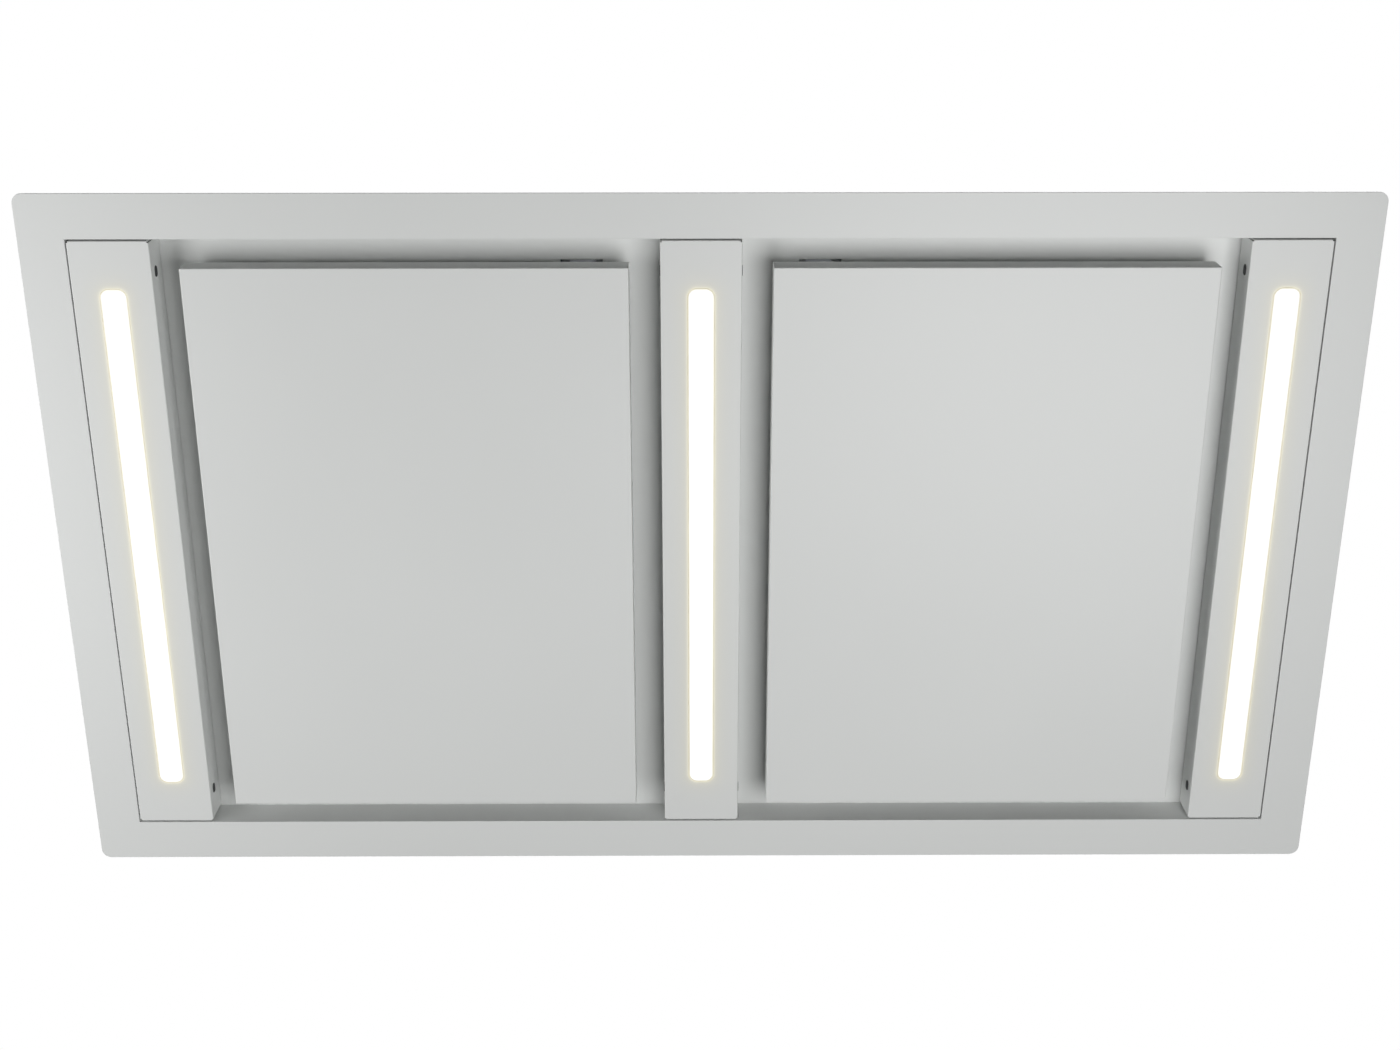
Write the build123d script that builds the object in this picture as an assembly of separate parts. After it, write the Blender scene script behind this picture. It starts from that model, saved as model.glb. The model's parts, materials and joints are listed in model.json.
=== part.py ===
from build123d import *
import math
import os

# Flush ceiling range hood: a trim frame with a recess, three light bars, two hinged suction
# panels with grease filters behind them, and a housing above the ceiling with a double-inlet
# blower, a round outlet with non-return flaps, and the electrics.
# Millimetres, +Z up. The origin is the centre of the plane where the seal meets the ceiling.
# +X is right and +Y is far, for somebody who stands at the near long side and looks up.

os.makedirs("parts", exist_ok=True)

# ---------------------------------------------------------------- driving dimensions
# trim frame and recess
flange_length = 1200.0
flange_depth = 668.0
flange_thickness = 1.5
flange_end_border = 41.5
flange_side_border = 40.5
flange_corner_radius = 9.0
seal_thickness = 2.0
seal_width = 32.0
seal_inset = 3.0
coated_sheet = 1.2
bend_radius = 0.9
recess_depth = 33.5
deck_edge_height = 14.0

# light bars
bar_width = 72.5
bar_side_gap = 1.0
bar_end_gap = 1.5
bar_deck_gap = 1.5
corner_relief = 1.6
light_slot_width = 24.5
light_slot_end_inset = 43.0
light_slot_radius = 8.5
side_slot_length = 9.5
side_slot_height = 4.5
side_slot_rise = 13.0
side_slot_inset = 30.0
diffuser_clearance = 0.2
diffuser_rim_width = 30.0
diffuser_rim_overhang = 3.0
diffuser_rim_thickness = 1.5
profile_wall = 1.5
profile_height = 16.0
profile_foot = 7.0
profile_play = 0.3
board_width = 22.0
board_thickness = 1.6
diode_size = (2.8, 3.5, 0.8)
diode_pitch = 25.0
bracket_sheet = 1.5
bracket_length = 24.0
bracket_leg = 27.0
bracket_clearance = 0.3
grub_screw_radius = 1.95
grub_screw_length = 8.0
grub_socket = 1.0
thread_clearance = 0.05

# suction panels
panel_inner_gap = 27.75
panel_outer_gap = 26.0
panel_end_gap = 24.5
panel_height = 23.0
panel_proud = 7.0
panel_lip = 12.0
panel_back_margin = 2.0
panel_back_sheet = 1.0
hinge_inset = 8.0
hinge_rise = 14.5
hinge_end_inset = 89.0
hinge_pin_radius = 2.5
hinge_pin_head_radius = 4.0
hinge_pin_head = 1.2
hinge_bore_clearance = 0.05
hanger_thickness = 2.5
hanger_width = 14.0
hanger_foot = 20.0
hanger_play = 0.75
ear_thickness = 1.5
catch_inset = 43.5
catch_slot_length = 38.0
catch_slot_width = 16.0
catch_slot_edge = 1.8
catch_tab_width = 24.0
catch_tab_thickness = 1.5
catch_tab_rise = 12.0
catch_leaf = 0.8
catch_leaf_length = 10.0
catch_clearance = 0.3

# grease filters
filter_side_margin = 54.5
filter_end_margin = 71.0
filter_height = 9.0
filter_rim = 10.0
filter_play = 2.0
filter_face = 1.0
filter_slot_length = 36.0
filter_slot_width = 5.0
filter_slot_pitch = (43.0, 10.0)
filter_lug_width = 30.0
filter_lug_reach = 8.0
filter_lug_thickness = 1.5
filter_lug_spacing = 160.0
latch_width = 40.0
latch_length = 19.0
latch_height = 5.5
latch_rib = 1.8
latch_bolt_width = 20.0
latch_bolt_reach = 9.0
latch_bolt_height = 2.5
latch_travel = 7.0
latch_clearance = 0.3
latch_grip_depth = 6.0
latch_grip_length = 3.5
latch_well = 30.0

# housing
housing_sheet = 1.0
housing_top = 262.0
housing_lip = 12.0
housing_step = 17.3
housing_step_rise = 30.0
rivet_radius = 2.0
rivet_head_radius = 3.5
rivet_head = 1.2
rivet_clearance = 0.05
rivet_height = 38.0
rivets_long_side = 5
rivets_short_side = 3
screw_radius = 2.0
screw_head_radius = 4.0
screw_head = 2.4
screw_reach = 5.0
rim_screws_long_side = 4
rim_screws_short_side = 2
hanging_inset = (58.5, 73.5)
hanging_hole_radius = 4.5
hanging_sheet = 3.0
hanging_width = 40.0
hanging_rise = 28.0
hanging_foot = 42.0
hanging_tongue = 36.0

# blower
blower_axis_height = 150.0
impeller_radius = 80.0
impeller_length = 140.0
blade_depth = 14.5
blade_sweep = 6.5
blade_thickness = 0.9
blade_count = 36
impeller_ring = 2.0
hub_disc = 2.0
hub_disc_radius = 75.0
blade_clearance = 0.05
scroll_sheet = 1.0
scroll_start_gap = 12.0
scroll_growth = 9.0
scroll_end_play = 5.0
scroll_outlet_width = 108.0
scroll_rim = 4.0
scroll_lip = 30.0
inlet_radius = 62.0
inlet_lip_radius = 10.0
inlet_flange_width = 2.5
inlet_clearance = 0.3
shaft_radius = 4.0
bearing_radius = 11.0
bearing_width = 7.0
fit_clearance = 0.02
rotor_radius = 46.0
rotor_wall = 3.0
rotor_length = 47.0
rotor_air_gap = 2.0
stator_slots = 12
stator_slot_width = 5.0
stator_slot_depth = 16.0
stator_neck_radius = 15.0
stator_flange_radius = 40.0
stator_flange = 4.0
motor_screw_circle = 30.0
arm_width = 16.0
arm_sheet = 2.0
mount_radius = 7.0
mount_height = 8.0
mount_circle = 82.0
mount_count = 4

# outlet collar and non-return flaps
duct_outer_radius = 74.5
duct_wall = 2.5
duct_length = 50.0
collar_base = 184.0
collar_base_sheet = 2.0
collar_screw_spacing = (124.0, 160.0)
flap_seat_height = 27.0
flap_seat_width = 6.0
flap_seat_sheet = 2.0
flap_thickness = 1.5
flap_clearance = 0.3
flap_rim_clearance = 0.7
spindle_radius = 2.0
knuckle_radius = 3.5
knuckle_clearance = 0.06
knuckle_length = 27.0

# electrics
control_box_size = (200.0, 130.0, 45.0)
control_box_inset = (228.5, 173.5)
control_sheet = 1.0
control_lid_skirt = 10.0
control_board_size = (150.0, 90.0, 1.6)
control_standoff = 6.0
control_board_shift = (-12.0, -8.0)
terminal_size = (60.0, 18.0, 16.0)
terminal_ways = 5
gland_bore_radius = 4.0
gland_thread_radius = 8.0
gland_flange_radius = 11.5
gland_flange = 5.0
gland_nut = 5.0
gland_dome = 12.0
driver_size = (150.0, 46.0, 30.0)
driver_inset = (228.5, 43.5)
driver_ear = 12.0
lead_radius = 2.5
lead_bend_radius = 5.0
lead_gap = 0.3
lead_hole_clearance = 2.0
lead_spread = 8.0
lead_bracket_gap = 18.0
lead_step = 8.0
lead_drop = 32.0

# ---------------------------------------------------------------- levels and places
flange_top = -seal_thickness
face_z = flange_top - flange_thickness
recess_half_x = flange_length / 2 - flange_end_border
recess_half_y = flange_depth / 2 - flange_side_border
deck_z = face_z + recess_depth
deck_top = deck_z + coated_sheet
deck_edge_top = deck_top + deck_edge_height

bar_length = 2 * (recess_half_y - bar_end_gap)
bar_top = deck_z - bar_deck_gap
bar_inner_z = face_z + coated_sheet
outer_bar_x = recess_half_x - bar_side_gap - bar_width / 2
bar_centres = {"left": -outer_bar_x, "centre": 0.0, "right": outer_bar_x}
side_slot_y = bar_length / 2 - side_slot_inset
side_slot_z = face_z + side_slot_rise
light_slot_length = bar_length - 2 * light_slot_end_inset
diode_count = round(light_slot_length / diode_pitch)

panel_x = (bar_width / 2 + panel_inner_gap, outer_bar_x - bar_width / 2 - panel_outer_gap)
panel_middle = (panel_x[0] + panel_x[1]) / 2
panel_half_y = recess_half_y - panel_end_gap
panel_face_z = face_z - panel_proud
panel_top = panel_face_z + panel_height
panel_back_top = panel_top + panel_back_sheet
hinge_x = panel_x[1] - hinge_inset
hinge_z = panel_face_z + hinge_rise
hinge_ys = (hinge_end_inset - panel_half_y, panel_half_y - hinge_end_inset)
notch_half = hanger_thickness / 2 + hanger_play
catch_x = panel_x[0] + catch_inset
catch_y = panel_half_y - catch_slot_edge - catch_slot_width / 2
catch_tab_top = deck_top + catch_tab_rise

filter_width = panel_x[1] - panel_x[0] - 2 * filter_side_margin
filter_length = 2 * (panel_half_y - filter_end_margin)

wall_half_x = recess_half_x - coated_sheet
wall_half_y = recess_half_y - coated_sheet
upper_half_y = wall_half_y - housing_step
step_z = deck_top + housing_step_rise
top_plate_z = housing_top - housing_sheet
hanging_spacing = (2 * (recess_half_x - hanging_inset[0]), 2 * (recess_half_y - hanging_inset[1]))

volute_offset = scroll_growth / 2
outlet_right = volute_offset + impeller_radius + scroll_start_gap + 2 * scroll_growth
outlet_left = outlet_right - scroll_outlet_width
blower_y = -(outlet_left + outlet_right) / 2
scroll_half_x = impeller_length / 2 + scroll_end_play
motor_bracket_x = scroll_half_x + scroll_sheet + mount_height
seat_z = housing_top + flap_seat_height
flap_z = seat_z + flap_clearance
spindle_z = flap_z + knuckle_radius + flap_clearance
control_box_centre = (recess_half_x - control_box_inset[0], control_box_inset[1] - recess_half_y)
control_top = housing_top + control_box_size[2]
gland_y = control_box_centre[1] - control_box_size[1] / 4
gland_z = housing_top + control_box_size[2] / 2
gland_x = control_box_centre[0] + control_box_size[0] / 2
driver_centre = (driver_inset[0] - recess_half_x, driver_inset[1] - recess_half_y)
lead_y = lead_bracket_gap + bracket_length / 2 - side_slot_y
supply_lead_y = lead_y - lead_step
lead_drop_x = driver_centre[0] + driver_size[0] / 2 + lead_drop


# ---------------------------------------------------------------- small helpers
def block(x_range, y_range, z_range):
    """A box between two limits on each axis."""
    ranges = (x_range, y_range, z_range)
    size = [abs(high - low) for low, high in ranges]
    middle = [(low + high) / 2 for low, high in ranges]
    return Pos(*middle) * Box(*size)


def slab(half_x, half_y, z_range):
    """A box centred on the Z axis."""
    return block((-half_x, half_x), (-half_y, half_y), z_range)


def rod(radius, start, end):
    """A round bar from one point to another."""
    run = Vector(*end) - Vector(*start)
    return extrude(Plane(origin=start, z_dir=run) * Circle(radius), run.length)


def along_x(radius, x_range, y, z):
    """A round bar along X."""
    return rod(radius, (x_range[0], y, z), (x_range[1], y, z))


def along_y(radius, x, y_range, z):
    """A round bar along Y."""
    return rod(radius, (x, y_range[0], z), (x, y_range[1], z))


def along_z(radius, x, y, z_range):
    """A round bar along Z."""
    return rod(radius, (x, y, z_range[0]), (x, y, z_range[1]))


def cut(shape, tools):
    """The shape less every tool in the list."""
    return shape - tools if tools else shape


def mirrored(shape):
    """The same piece on the other side of the hood."""
    return shape.mirror(Plane.YZ)


def soften_bottom(shape, radius):
    """The shape with its lowest edges rounded, as bent sheet has them."""
    return fillet(shape.edges().group_by(Axis.Z)[0], radius)


def save(node, *shapes):
    """Write one node, whose separate solids stay separate."""
    solids = [solid for shape in shapes for solid in shape.solids()]
    export_step(solids[0] if len(solids) == 1 else Compound(solids), f"parts/{node}.step")


def spread(count, length):
    """Evenly spaced places along a length, centred on zero."""
    return [length * ((index + 0.5) / count - 0.5) for index in range(count)]


# ---------------------------------------------------------------- rivets and screws round the rim
def rim_places():
    """Where the rim rivets go: a point on the return wall's outer face and its outward direction."""
    outer_x = recess_half_x + coated_sheet
    outer_y = recess_half_y + coated_sheet
    places = []
    for side in (-1, 1):
        for x in spread(rivets_long_side, 2 * recess_half_x):
            places.append(((x, side * outer_y, rivet_height), (0, side, 0)))
        for y in spread(rivets_short_side, 2 * recess_half_y):
            places.append(((side * outer_x, y, rivet_height), (side, 0, 0)))
    return places


def stepped_pin(point, outward, head_radius, head, shank_radius, shank, tail=0.0):
    """A headed fastener: its head stands outside the point and its shank goes in."""
    start = Vector(*point)
    way = Vector(*outward)
    pin = rod(head_radius, start, start + way * head) + rod(shank_radius, start, start - way * shank)
    if tail:
        pin += rod(head_radius, start - way * shank, start - way * (shank + tail))
    return pin


def through_hole(radius, point, outward, depth):
    """A round cutter from just outside the point to a depth below it."""
    start = Vector(*point)
    way = Vector(*outward)
    return rod(radius, start + way, start - way * depth)


def rim_rivets():
    grip = 2 * coated_sheet + housing_sheet
    return [
        stepped_pin(point, way, rivet_head_radius, rivet_head, rivet_radius, grip, rivet_head)
        for point, way in rim_places()
    ]


def rim_holes():
    depth = 3 * coated_sheet + 2 * housing_sheet
    return [
        through_hole(rivet_radius + rivet_clearance, point, way, depth)
        for point, way in rim_places()
    ]


def rim_screws():
    """Where screws hold the top plate on the lips of the walls."""
    lip_x = wall_half_x - housing_lip / 2
    lip_y = upper_half_y - housing_lip / 2
    places = []
    for side in (-1, 1):
        places += [(x, side * lip_y) for x in spread(rim_screws_long_side, 2 * wall_half_x)]
        places += [(side * lip_x, y) for y in spread(rim_screws_short_side, 2 * upper_half_y)]
    return places


def lip_holes():
    reach = (top_plate_z - 2 * housing_sheet, housing_top)
    return [along_z(screw_radius + thread_clearance, x, y, reach) for x, y in rim_screws()]


def hanger_rivet_places():
    """Two rivets hold the foot of each hinge hanger under the deck."""
    places = []
    for side in (-1, 1):
        for y in hinge_ys:
            for step in (-hanger_foot / 4, hanger_foot / 4):
                foot_y = y + hanger_thickness / 2 + hanger_foot / 2
                places.append((side * (hinge_x + step), foot_y))
    return places


def hanger_rivets():
    grip = hanger_thickness + coated_sheet
    return [
        stepped_pin((x, y, deck_z - hanger_thickness), (0, 0, -1), rivet_head_radius, rivet_head,
                    rivet_radius, grip, rivet_head)
        for x, y in hanger_rivet_places()
    ]


def hanger_rivet_holes():
    reach = (deck_z - 2 * hanger_thickness, deck_top + coated_sheet)
    return [along_z(rivet_radius + rivet_clearance, x, y, reach) for x, y in hanger_rivet_places()]


# ---------------------------------------------------------------- trim frame, seal and deck
def flange_frame():
    """Flat frame against the ceiling with walls that return up into the recess."""
    outline = RectangleRounded(flange_length, flange_depth, flange_corner_radius)
    plate = soften_bottom(extrude(Plane.XY.offset(face_z) * outline, flange_thickness), bend_radius / 2)
    walls = slab(recess_half_x + coated_sheet, recess_half_y + coated_sheet, (face_z, deck_edge_top))
    recess = slab(recess_half_x, recess_half_y, (face_z, deck_edge_top))
    return cut(plate + walls - recess, rim_holes())


def ceiling_seal():
    """Soft strip between the flange and the ceiling."""
    half_x = flange_length / 2 - seal_inset
    half_y = flange_depth / 2 - seal_inset
    ring = slab(half_x, half_y, (flange_top, 0))
    return ring - slab(half_x - seal_width, half_y - seal_width, (flange_top, 0))


def catch_slot(side, end):
    """Slot in the deck that a catch tab goes through."""
    slot = Rectangle(catch_slot_length, catch_slot_width)
    return extrude(Plane.XY.offset(deck_z) * Pos(side * catch_x, end * catch_y) * slot, coated_sheet)


def deck_plate():
    """Ceiling of the recess: a pan whose edges turn up inside the frame's return walls."""
    outer = slab(recess_half_x, recess_half_y, (deck_z, deck_edge_top))
    pan = outer - slab(wall_half_x, wall_half_y, (deck_top, deck_edge_top))
    aperture = Rectangle(filter_width + 2 * filter_play, filter_length + 2 * filter_play)
    openings = [
        extrude(Plane.XY.offset(deck_z) * Pos(side * panel_middle, 0) * aperture, coated_sheet)
        for side in (-1, 1)
    ]
    openings += [catch_slot(side, end) for side in (-1, 1) for end in (-1, 1)]
    radius = lead_radius + lead_hole_clearance
    openings += [along_z(radius, x, y, (deck_z, deck_top)) for x, y in lead_ends()]
    return cut(pan, openings + rim_holes() + hanger_rivet_holes())


# ---------------------------------------------------------------- light bars
def light_bar():
    """Pan of folded sheet with its corners relieved, open towards the deck."""
    half_x = bar_width / 2
    half_y = bar_length / 2
    pan = soften_bottom(slab(half_x, half_y, (face_z, bar_top)), bend_radius)
    pan -= slab(half_x - coated_sheet, half_y - coated_sheet, (bar_inner_z, bar_top))
    slot = RectangleRounded(light_slot_width, light_slot_length, light_slot_radius)
    openings = [extrude(Plane.XY.offset(face_z) * slot, coated_sheet)]
    for x_sign in (-1, 1):
        for y_sign in (-1, 1):
            corner_x = (x_sign * half_x, x_sign * (half_x - corner_relief))
            corner_y = (y_sign * half_y, y_sign * (half_y - corner_relief))
            openings.append(block(corner_x, corner_y, (face_z, bar_top)))
    side_slot = SlotOverall(side_slot_length, side_slot_height)
    for y in (-side_slot_y, side_slot_y):
        plane = Plane(origin=(-half_x, y, side_slot_z), x_dir=(0, 1, 0), z_dir=(1, 0, 0))
        openings.append(extrude(plane * side_slot, bar_width))
    return cut(pan, openings)


def diffuser():
    """Opal strip: a boss that fills the bar's slot, on a rim that lies on the bar's inner face."""
    boss = RectangleRounded(
        light_slot_width - 2 * diffuser_clearance,
        light_slot_length - 2 * diffuser_clearance,
        light_slot_radius - diffuser_clearance,
    )
    strip = extrude(Plane.XY.offset(face_z) * boss, coated_sheet)
    rim_half_y = light_slot_length / 2 + diffuser_rim_overhang
    rim_z = (bar_inner_z, bar_inner_z + diffuser_rim_thickness)
    return strip + slab(diffuser_rim_width / 2, rim_half_y, rim_z)


def light_profile(bar_x):
    """Aluminium channel over the diffuser: web, sides, feet on the bar and ribs on the rim."""
    half_y = light_slot_length / 2 + diffuser_rim_overhang + profile_wall
    inner = diffuser_rim_width / 2 + profile_play
    outer = inner + profile_wall
    top = bar_inner_z + profile_height
    rib_z = bar_inner_z + diffuser_rim_thickness + profile_play
    channel = slab(outer, half_y, (top - profile_wall, top))
    for side in (-1, 1):
        channel += block((side * inner, side * outer), (-half_y, half_y), (bar_inner_z, top))
        foot = (side * inner, side * (outer + profile_foot))
        channel += block(foot, (-half_y, half_y), (bar_inner_z, bar_inner_z + profile_wall))
        rib = (side * (inner - profile_wall), side * inner)
        channel += block(rib, (-half_y, half_y), (rib_z, rib_z + profile_wall))
    holes = [
        along_z(lead_radius + lead_hole_clearance, x - bar_x, y, (top - profile_wall, top))
        for x, y in lead_ends()
        if abs(x - bar_x) < bar_width / 2
    ]
    return cut(channel, holes)


def light_board():
    """Circuit board under the profile's web, with a row of light-emitting diodes."""
    top = bar_inner_z + profile_height - profile_wall
    bottom = top - board_thickness
    board = slab(board_width / 2, light_slot_length / 2, (bottom, top))
    width, length, height = diode_size
    diode = Pos(0, 0, bottom - height / 2) * Box(width, length, height)
    row = [Pos(0, y, 0) * diode for y in spread(diode_count, diode_pitch * diode_count)]
    return board + row


def bracket_half():
    """Half the outer width of the bracket inside a light bar."""
    return bar_width / 2 - coated_sheet - bracket_clearance


def bar_bracket(pegged_side):
    """Stirrup under the deck: its legs carry grub screws, or a fixed peg where no key can reach."""
    half = bracket_half()
    y_range = (-bracket_length / 2, bracket_length / 2)
    bracket = block((-half, half), y_range, (deck_z - bracket_sheet, deck_z))
    for side in (-1, 1):
        leg = (side * half, side * (half - bracket_sheet))
        bracket += block(leg, y_range, (deck_z - bracket_leg, deck_z))
        if side == pegged_side:
            peg_end = side * (half + bracket_clearance + coated_sheet)
            bracket += along_x(grub_screw_radius, (side * (half - bracket_sheet), peg_end), 0, side_slot_z)
        else:
            hole = (side * (half + 1), side * (half - 2 * bracket_sheet))
            bracket -= along_x(grub_screw_radius + thread_clearance, hole, 0, side_slot_z)
    return bracket


def grub_screw(side):
    """Headless screw whose end stands in the bar's side slot."""
    tip = side * (bracket_half() + bracket_clearance + coated_sheet * 0.6)
    screw = along_x(grub_screw_radius, (tip, tip - side * grub_screw_length), 0, side_slot_z)
    socket = Plane(origin=(tip, 0, side_slot_z), z_dir=(-side, 0, 0)) * RegularPolygon(grub_socket, 6)
    return screw - extrude(socket, grub_screw_length / 3)


def bar_fixings():
    """Brackets and grub screws of all three bars."""
    brackets = []
    screws = []
    for name, x in bar_centres.items():
        pegged_side = {"left": -1, "centre": 0, "right": 1}[name]
        for y in (-side_slot_y, side_slot_y):
            brackets.append(Pos(x, y, 0) * bar_bracket(pegged_side))
            screws += [Pos(x, y, 0) * grub_screw(side) for side in (-1, 1) if side != pegged_side]
    return brackets, screws


# ---------------------------------------------------------------- suction panels (right-hand side)
def panel_shell():
    """Folded tray, open at the back inside a return lip, notched for the hinge hangers."""
    y_range = (-panel_half_y, panel_half_y)
    tray = block(panel_x, y_range, (panel_face_z, panel_top))
    tray = fillet(tray.edges().filter_by(Axis.Z), bend_radius)
    tray = soften_bottom(tray, bend_radius)
    inner_x = (panel_x[0] + coated_sheet, panel_x[1] - coated_sheet)
    inner_half_y = panel_half_y - coated_sheet
    inner_z = (panel_face_z + coated_sheet, panel_top - coated_sheet)
    tray -= block(inner_x, (-inner_half_y, inner_half_y), inner_z)
    mouth_x = (inner_x[0] + panel_lip, inner_x[1] - panel_lip)
    mouth_half_y = inner_half_y - panel_lip
    tray -= block(mouth_x, (-mouth_half_y, mouth_half_y), (panel_top - coated_sheet, panel_top))
    half = notch_half + ear_thickness + 2 * catch_clearance
    notch_x = (hinge_x - hanger_width / 2 - 2 * hanger_play, panel_x[1])
    notch_z = (hinge_z - hanger_width / 2 - hanger_play, panel_top)
    notches = [block(notch_x, (y - half, y + half), notch_z) for y in hinge_ys]
    return cut(tray, notches)


def panel_back():
    """Flat sheet that closes the tray, with hinge ears bent down and catch tabs bent up."""
    x_range = (panel_x[0] + panel_back_margin, panel_x[1] - panel_back_margin)
    half_y = panel_half_y - panel_back_margin
    back = block(x_range, (-half_y, half_y), (panel_top, panel_back_top))
    notch_x = (hinge_x - hanger_width / 2 - 2 * hanger_play, panel_x[1])
    ear_x = (hinge_x - hanger_width / 2 + hanger_play, hinge_x + hinge_inset - coated_sheet - hanger_play)
    for y in hinge_ys:
        back -= block(notch_x, (y - notch_half, y + notch_half), (panel_top, panel_back_top))
        for side in (-1, 1):
            ear_y = (y + side * notch_half, y + side * (notch_half + ear_thickness))
            ear = block(ear_x, ear_y, (hinge_z - hanger_width / 2 + hanger_play, panel_back_top))
            reach = (ear_y[0] - side, ear_y[1] + side)
            hole = along_y(hinge_pin_radius + fit_clearance, hinge_x, reach, hinge_z)
            back += ear - hole
    for end in (-1, 1):
        tab_x = (catch_x - catch_tab_width / 2, catch_x + catch_tab_width / 2)
        tab_y = (end * catch_y - catch_tab_thickness / 2, end * catch_y + catch_tab_thickness / 2)
        tab = block(tab_x, tab_y, (panel_top, catch_tab_top))
        tab = chamfer(tab.edges().filter_by(Axis.Y).group_by(Axis.Z)[-1], catch_tab_width / 4)
        back += tab
    return back


def hinge_pin(y):
    """Riveted pin that turns with the panel in the hanger's bore."""
    reach = notch_half + ear_thickness
    pin = along_y(hinge_pin_radius, hinge_x, (y - reach, y + reach), hinge_z)
    for side in (-1, 1):
        head = (y + side * reach, y + side * (reach + hinge_pin_head))
        pin += along_y(hinge_pin_head_radius, hinge_x, head, hinge_z)
    return pin


def hinge_hanger(y):
    """Angle under the deck whose tongue carries the hinge pin."""
    half = hanger_width / 2
    tongue_y = (y - hanger_thickness / 2, y + hanger_thickness / 2)
    tongue = block((hinge_x - half, hinge_x + half), tongue_y, (hinge_z, deck_z))
    tongue += along_y(half, hinge_x, tongue_y, hinge_z)
    foot_x = (hinge_x - hanger_foot / 2, hinge_x + hanger_foot / 2)
    foot = block(foot_x, (tongue_y[0], tongue_y[1] + hanger_foot), (deck_z - hanger_thickness, deck_z))
    reach = (tongue_y[0] - 1, tongue_y[1] + 1)
    bore = along_y(hinge_pin_radius + hinge_bore_clearance, hinge_x, reach, hinge_z)
    return tongue + foot - bore


def hinge_hangers():
    right = [hinge_hanger(y) for y in hinge_ys]
    return [cut(hanger, hanger_rivet_holes()) for hanger in right + [mirrored(hanger) for hanger in right]]


def catch_clip():
    """Spring clip on the deck: two leaves that hold the catch tab by friction."""
    leg_x = catch_slot_length / 2 + 2 * catch_leaf
    half_y = catch_slot_width / 2
    top = catch_tab_top + 2 * catch_leaf
    clip = slab(leg_x, half_y, (top, top + catch_leaf))
    for side in (-1, 1):
        clip += block((side * (leg_x - catch_leaf), side * leg_x), (-half_y, half_y), (deck_top, top))
        foot_x = (side * leg_x, side * (leg_x + half_y))
        clip += block(foot_x, (-half_y, half_y), (deck_top, deck_top + catch_leaf))
        inner = catch_tab_thickness / 2 + catch_clearance
        leaf_x = catch_tab_width / 2 - catch_leaf
        leaf_y = (side * inner, side * (inner + catch_leaf))
        clip += block((-leaf_x, leaf_x), leaf_y, (top - catch_leaf_length, top))
    return clip


def catch_clips():
    return [Pos(side * catch_x, end * catch_y, 0) * catch_clip() for side in (-1, 1) for end in (-1, 1)]


# ---------------------------------------------------------------- grease filters (right-hand side)
def filter_slots():
    """Rows of slots in the filter's face, kept clear of the latch well."""
    slot = SlotOverall(filter_slot_length, filter_slot_width)
    free_width = filter_width - 2 * filter_rim
    free_length = filter_length - 2 * filter_rim - latch_well
    columns = int(free_width / filter_slot_pitch[0])
    rows = int(free_length / filter_slot_pitch[1])
    middle = filter_rim + (free_length - filter_length) / 2
    places = GridLocations(*filter_slot_pitch, columns, rows)
    grid = [Pos(panel_middle, middle) * place * slot for place in places]
    return extrude(Plane.XY.offset(deck_z) * Sketch(children=grid), filter_face)


def latch_slide(clearance, travel):
    """The latch's body with its side ribs, or its well if a clearance and a travel are given."""
    half = latch_width / 2 + clearance
    rib = half + latch_rib
    outer_y = filter_length / 2 - latch_clearance
    y_range = (outer_y - latch_length - clearance - travel, outer_y + clearance)
    low = deck_z + latch_clearance
    rib_low = low + (latch_height - latch_rib) / 2
    slide_z = (low - clearance, low + latch_height + clearance)
    slide = block((panel_middle - half, panel_middle + half), y_range, slide_z)
    rib_z = (rib_low - clearance, rib_low + latch_rib + clearance)
    return slide + block((panel_middle - rib, panel_middle + rib), y_range, rib_z)


def filter_frame():
    """Rim with a slotted face, lugs that rest on the deck, and a well for the latch."""
    half_x = filter_width / 2
    half_y = filter_length / 2
    z_range = (deck_z, deck_z + filter_height)
    x_range = (panel_middle - half_x, panel_middle + half_x)
    frame = block(x_range, (-half_y, half_y), z_range)
    well_y = half_y - latch_well
    pocket_x = (x_range[0] + filter_rim, x_range[1] - filter_rim)
    frame -= block(pocket_x, (-half_y + filter_rim, well_y), (deck_z + filter_face, z_range[1]))
    frame -= filter_slots()
    frame -= latch_slide(latch_clearance, latch_travel)
    for step in (-filter_lug_spacing / 2, filter_lug_spacing / 2):
        lug_x = (panel_middle + step - filter_lug_width / 2, panel_middle + step + filter_lug_width / 2)
        lug_y = (-half_y - filter_play - filter_lug_reach, -half_y + filter_rim)
        frame += block(lug_x, lug_y, (deck_top, deck_top + filter_lug_thickness))
    return frame


def filter_mesh():
    """Pad of aluminium mesh that lies in the frame."""
    half_x = filter_width / 2 - filter_rim - filter_play / 2
    half_y = filter_length / 2 - filter_play / 2
    y_range = (filter_rim - half_y, half_y - latch_well)
    x_range = (panel_middle - half_x, panel_middle + half_x)
    return block(x_range, y_range, (deck_z + filter_face, deck_z + filter_height))


def filter_latch():
    """Sliding bolt with a finger grip below the filter's face."""
    latch = latch_slide(0, 0)
    outer_y = filter_length / 2 - latch_clearance
    bolt_x = (panel_middle - latch_bolt_width / 2, panel_middle + latch_bolt_width / 2)
    bolt_z = (deck_top + latch_clearance, deck_top + latch_clearance + latch_bolt_height)
    latch += block(bolt_x, (outer_y - latch_length / 2, outer_y + latch_bolt_reach), bolt_z)
    grip_y = (outer_y - latch_length, outer_y - latch_length + latch_grip_length)
    grip_x = (panel_middle - latch_width / 3, panel_middle + latch_width / 3)
    latch += block(grip_x, grip_y, (deck_z - latch_grip_depth, deck_z + latch_clearance + latch_height))
    return latch


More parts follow.
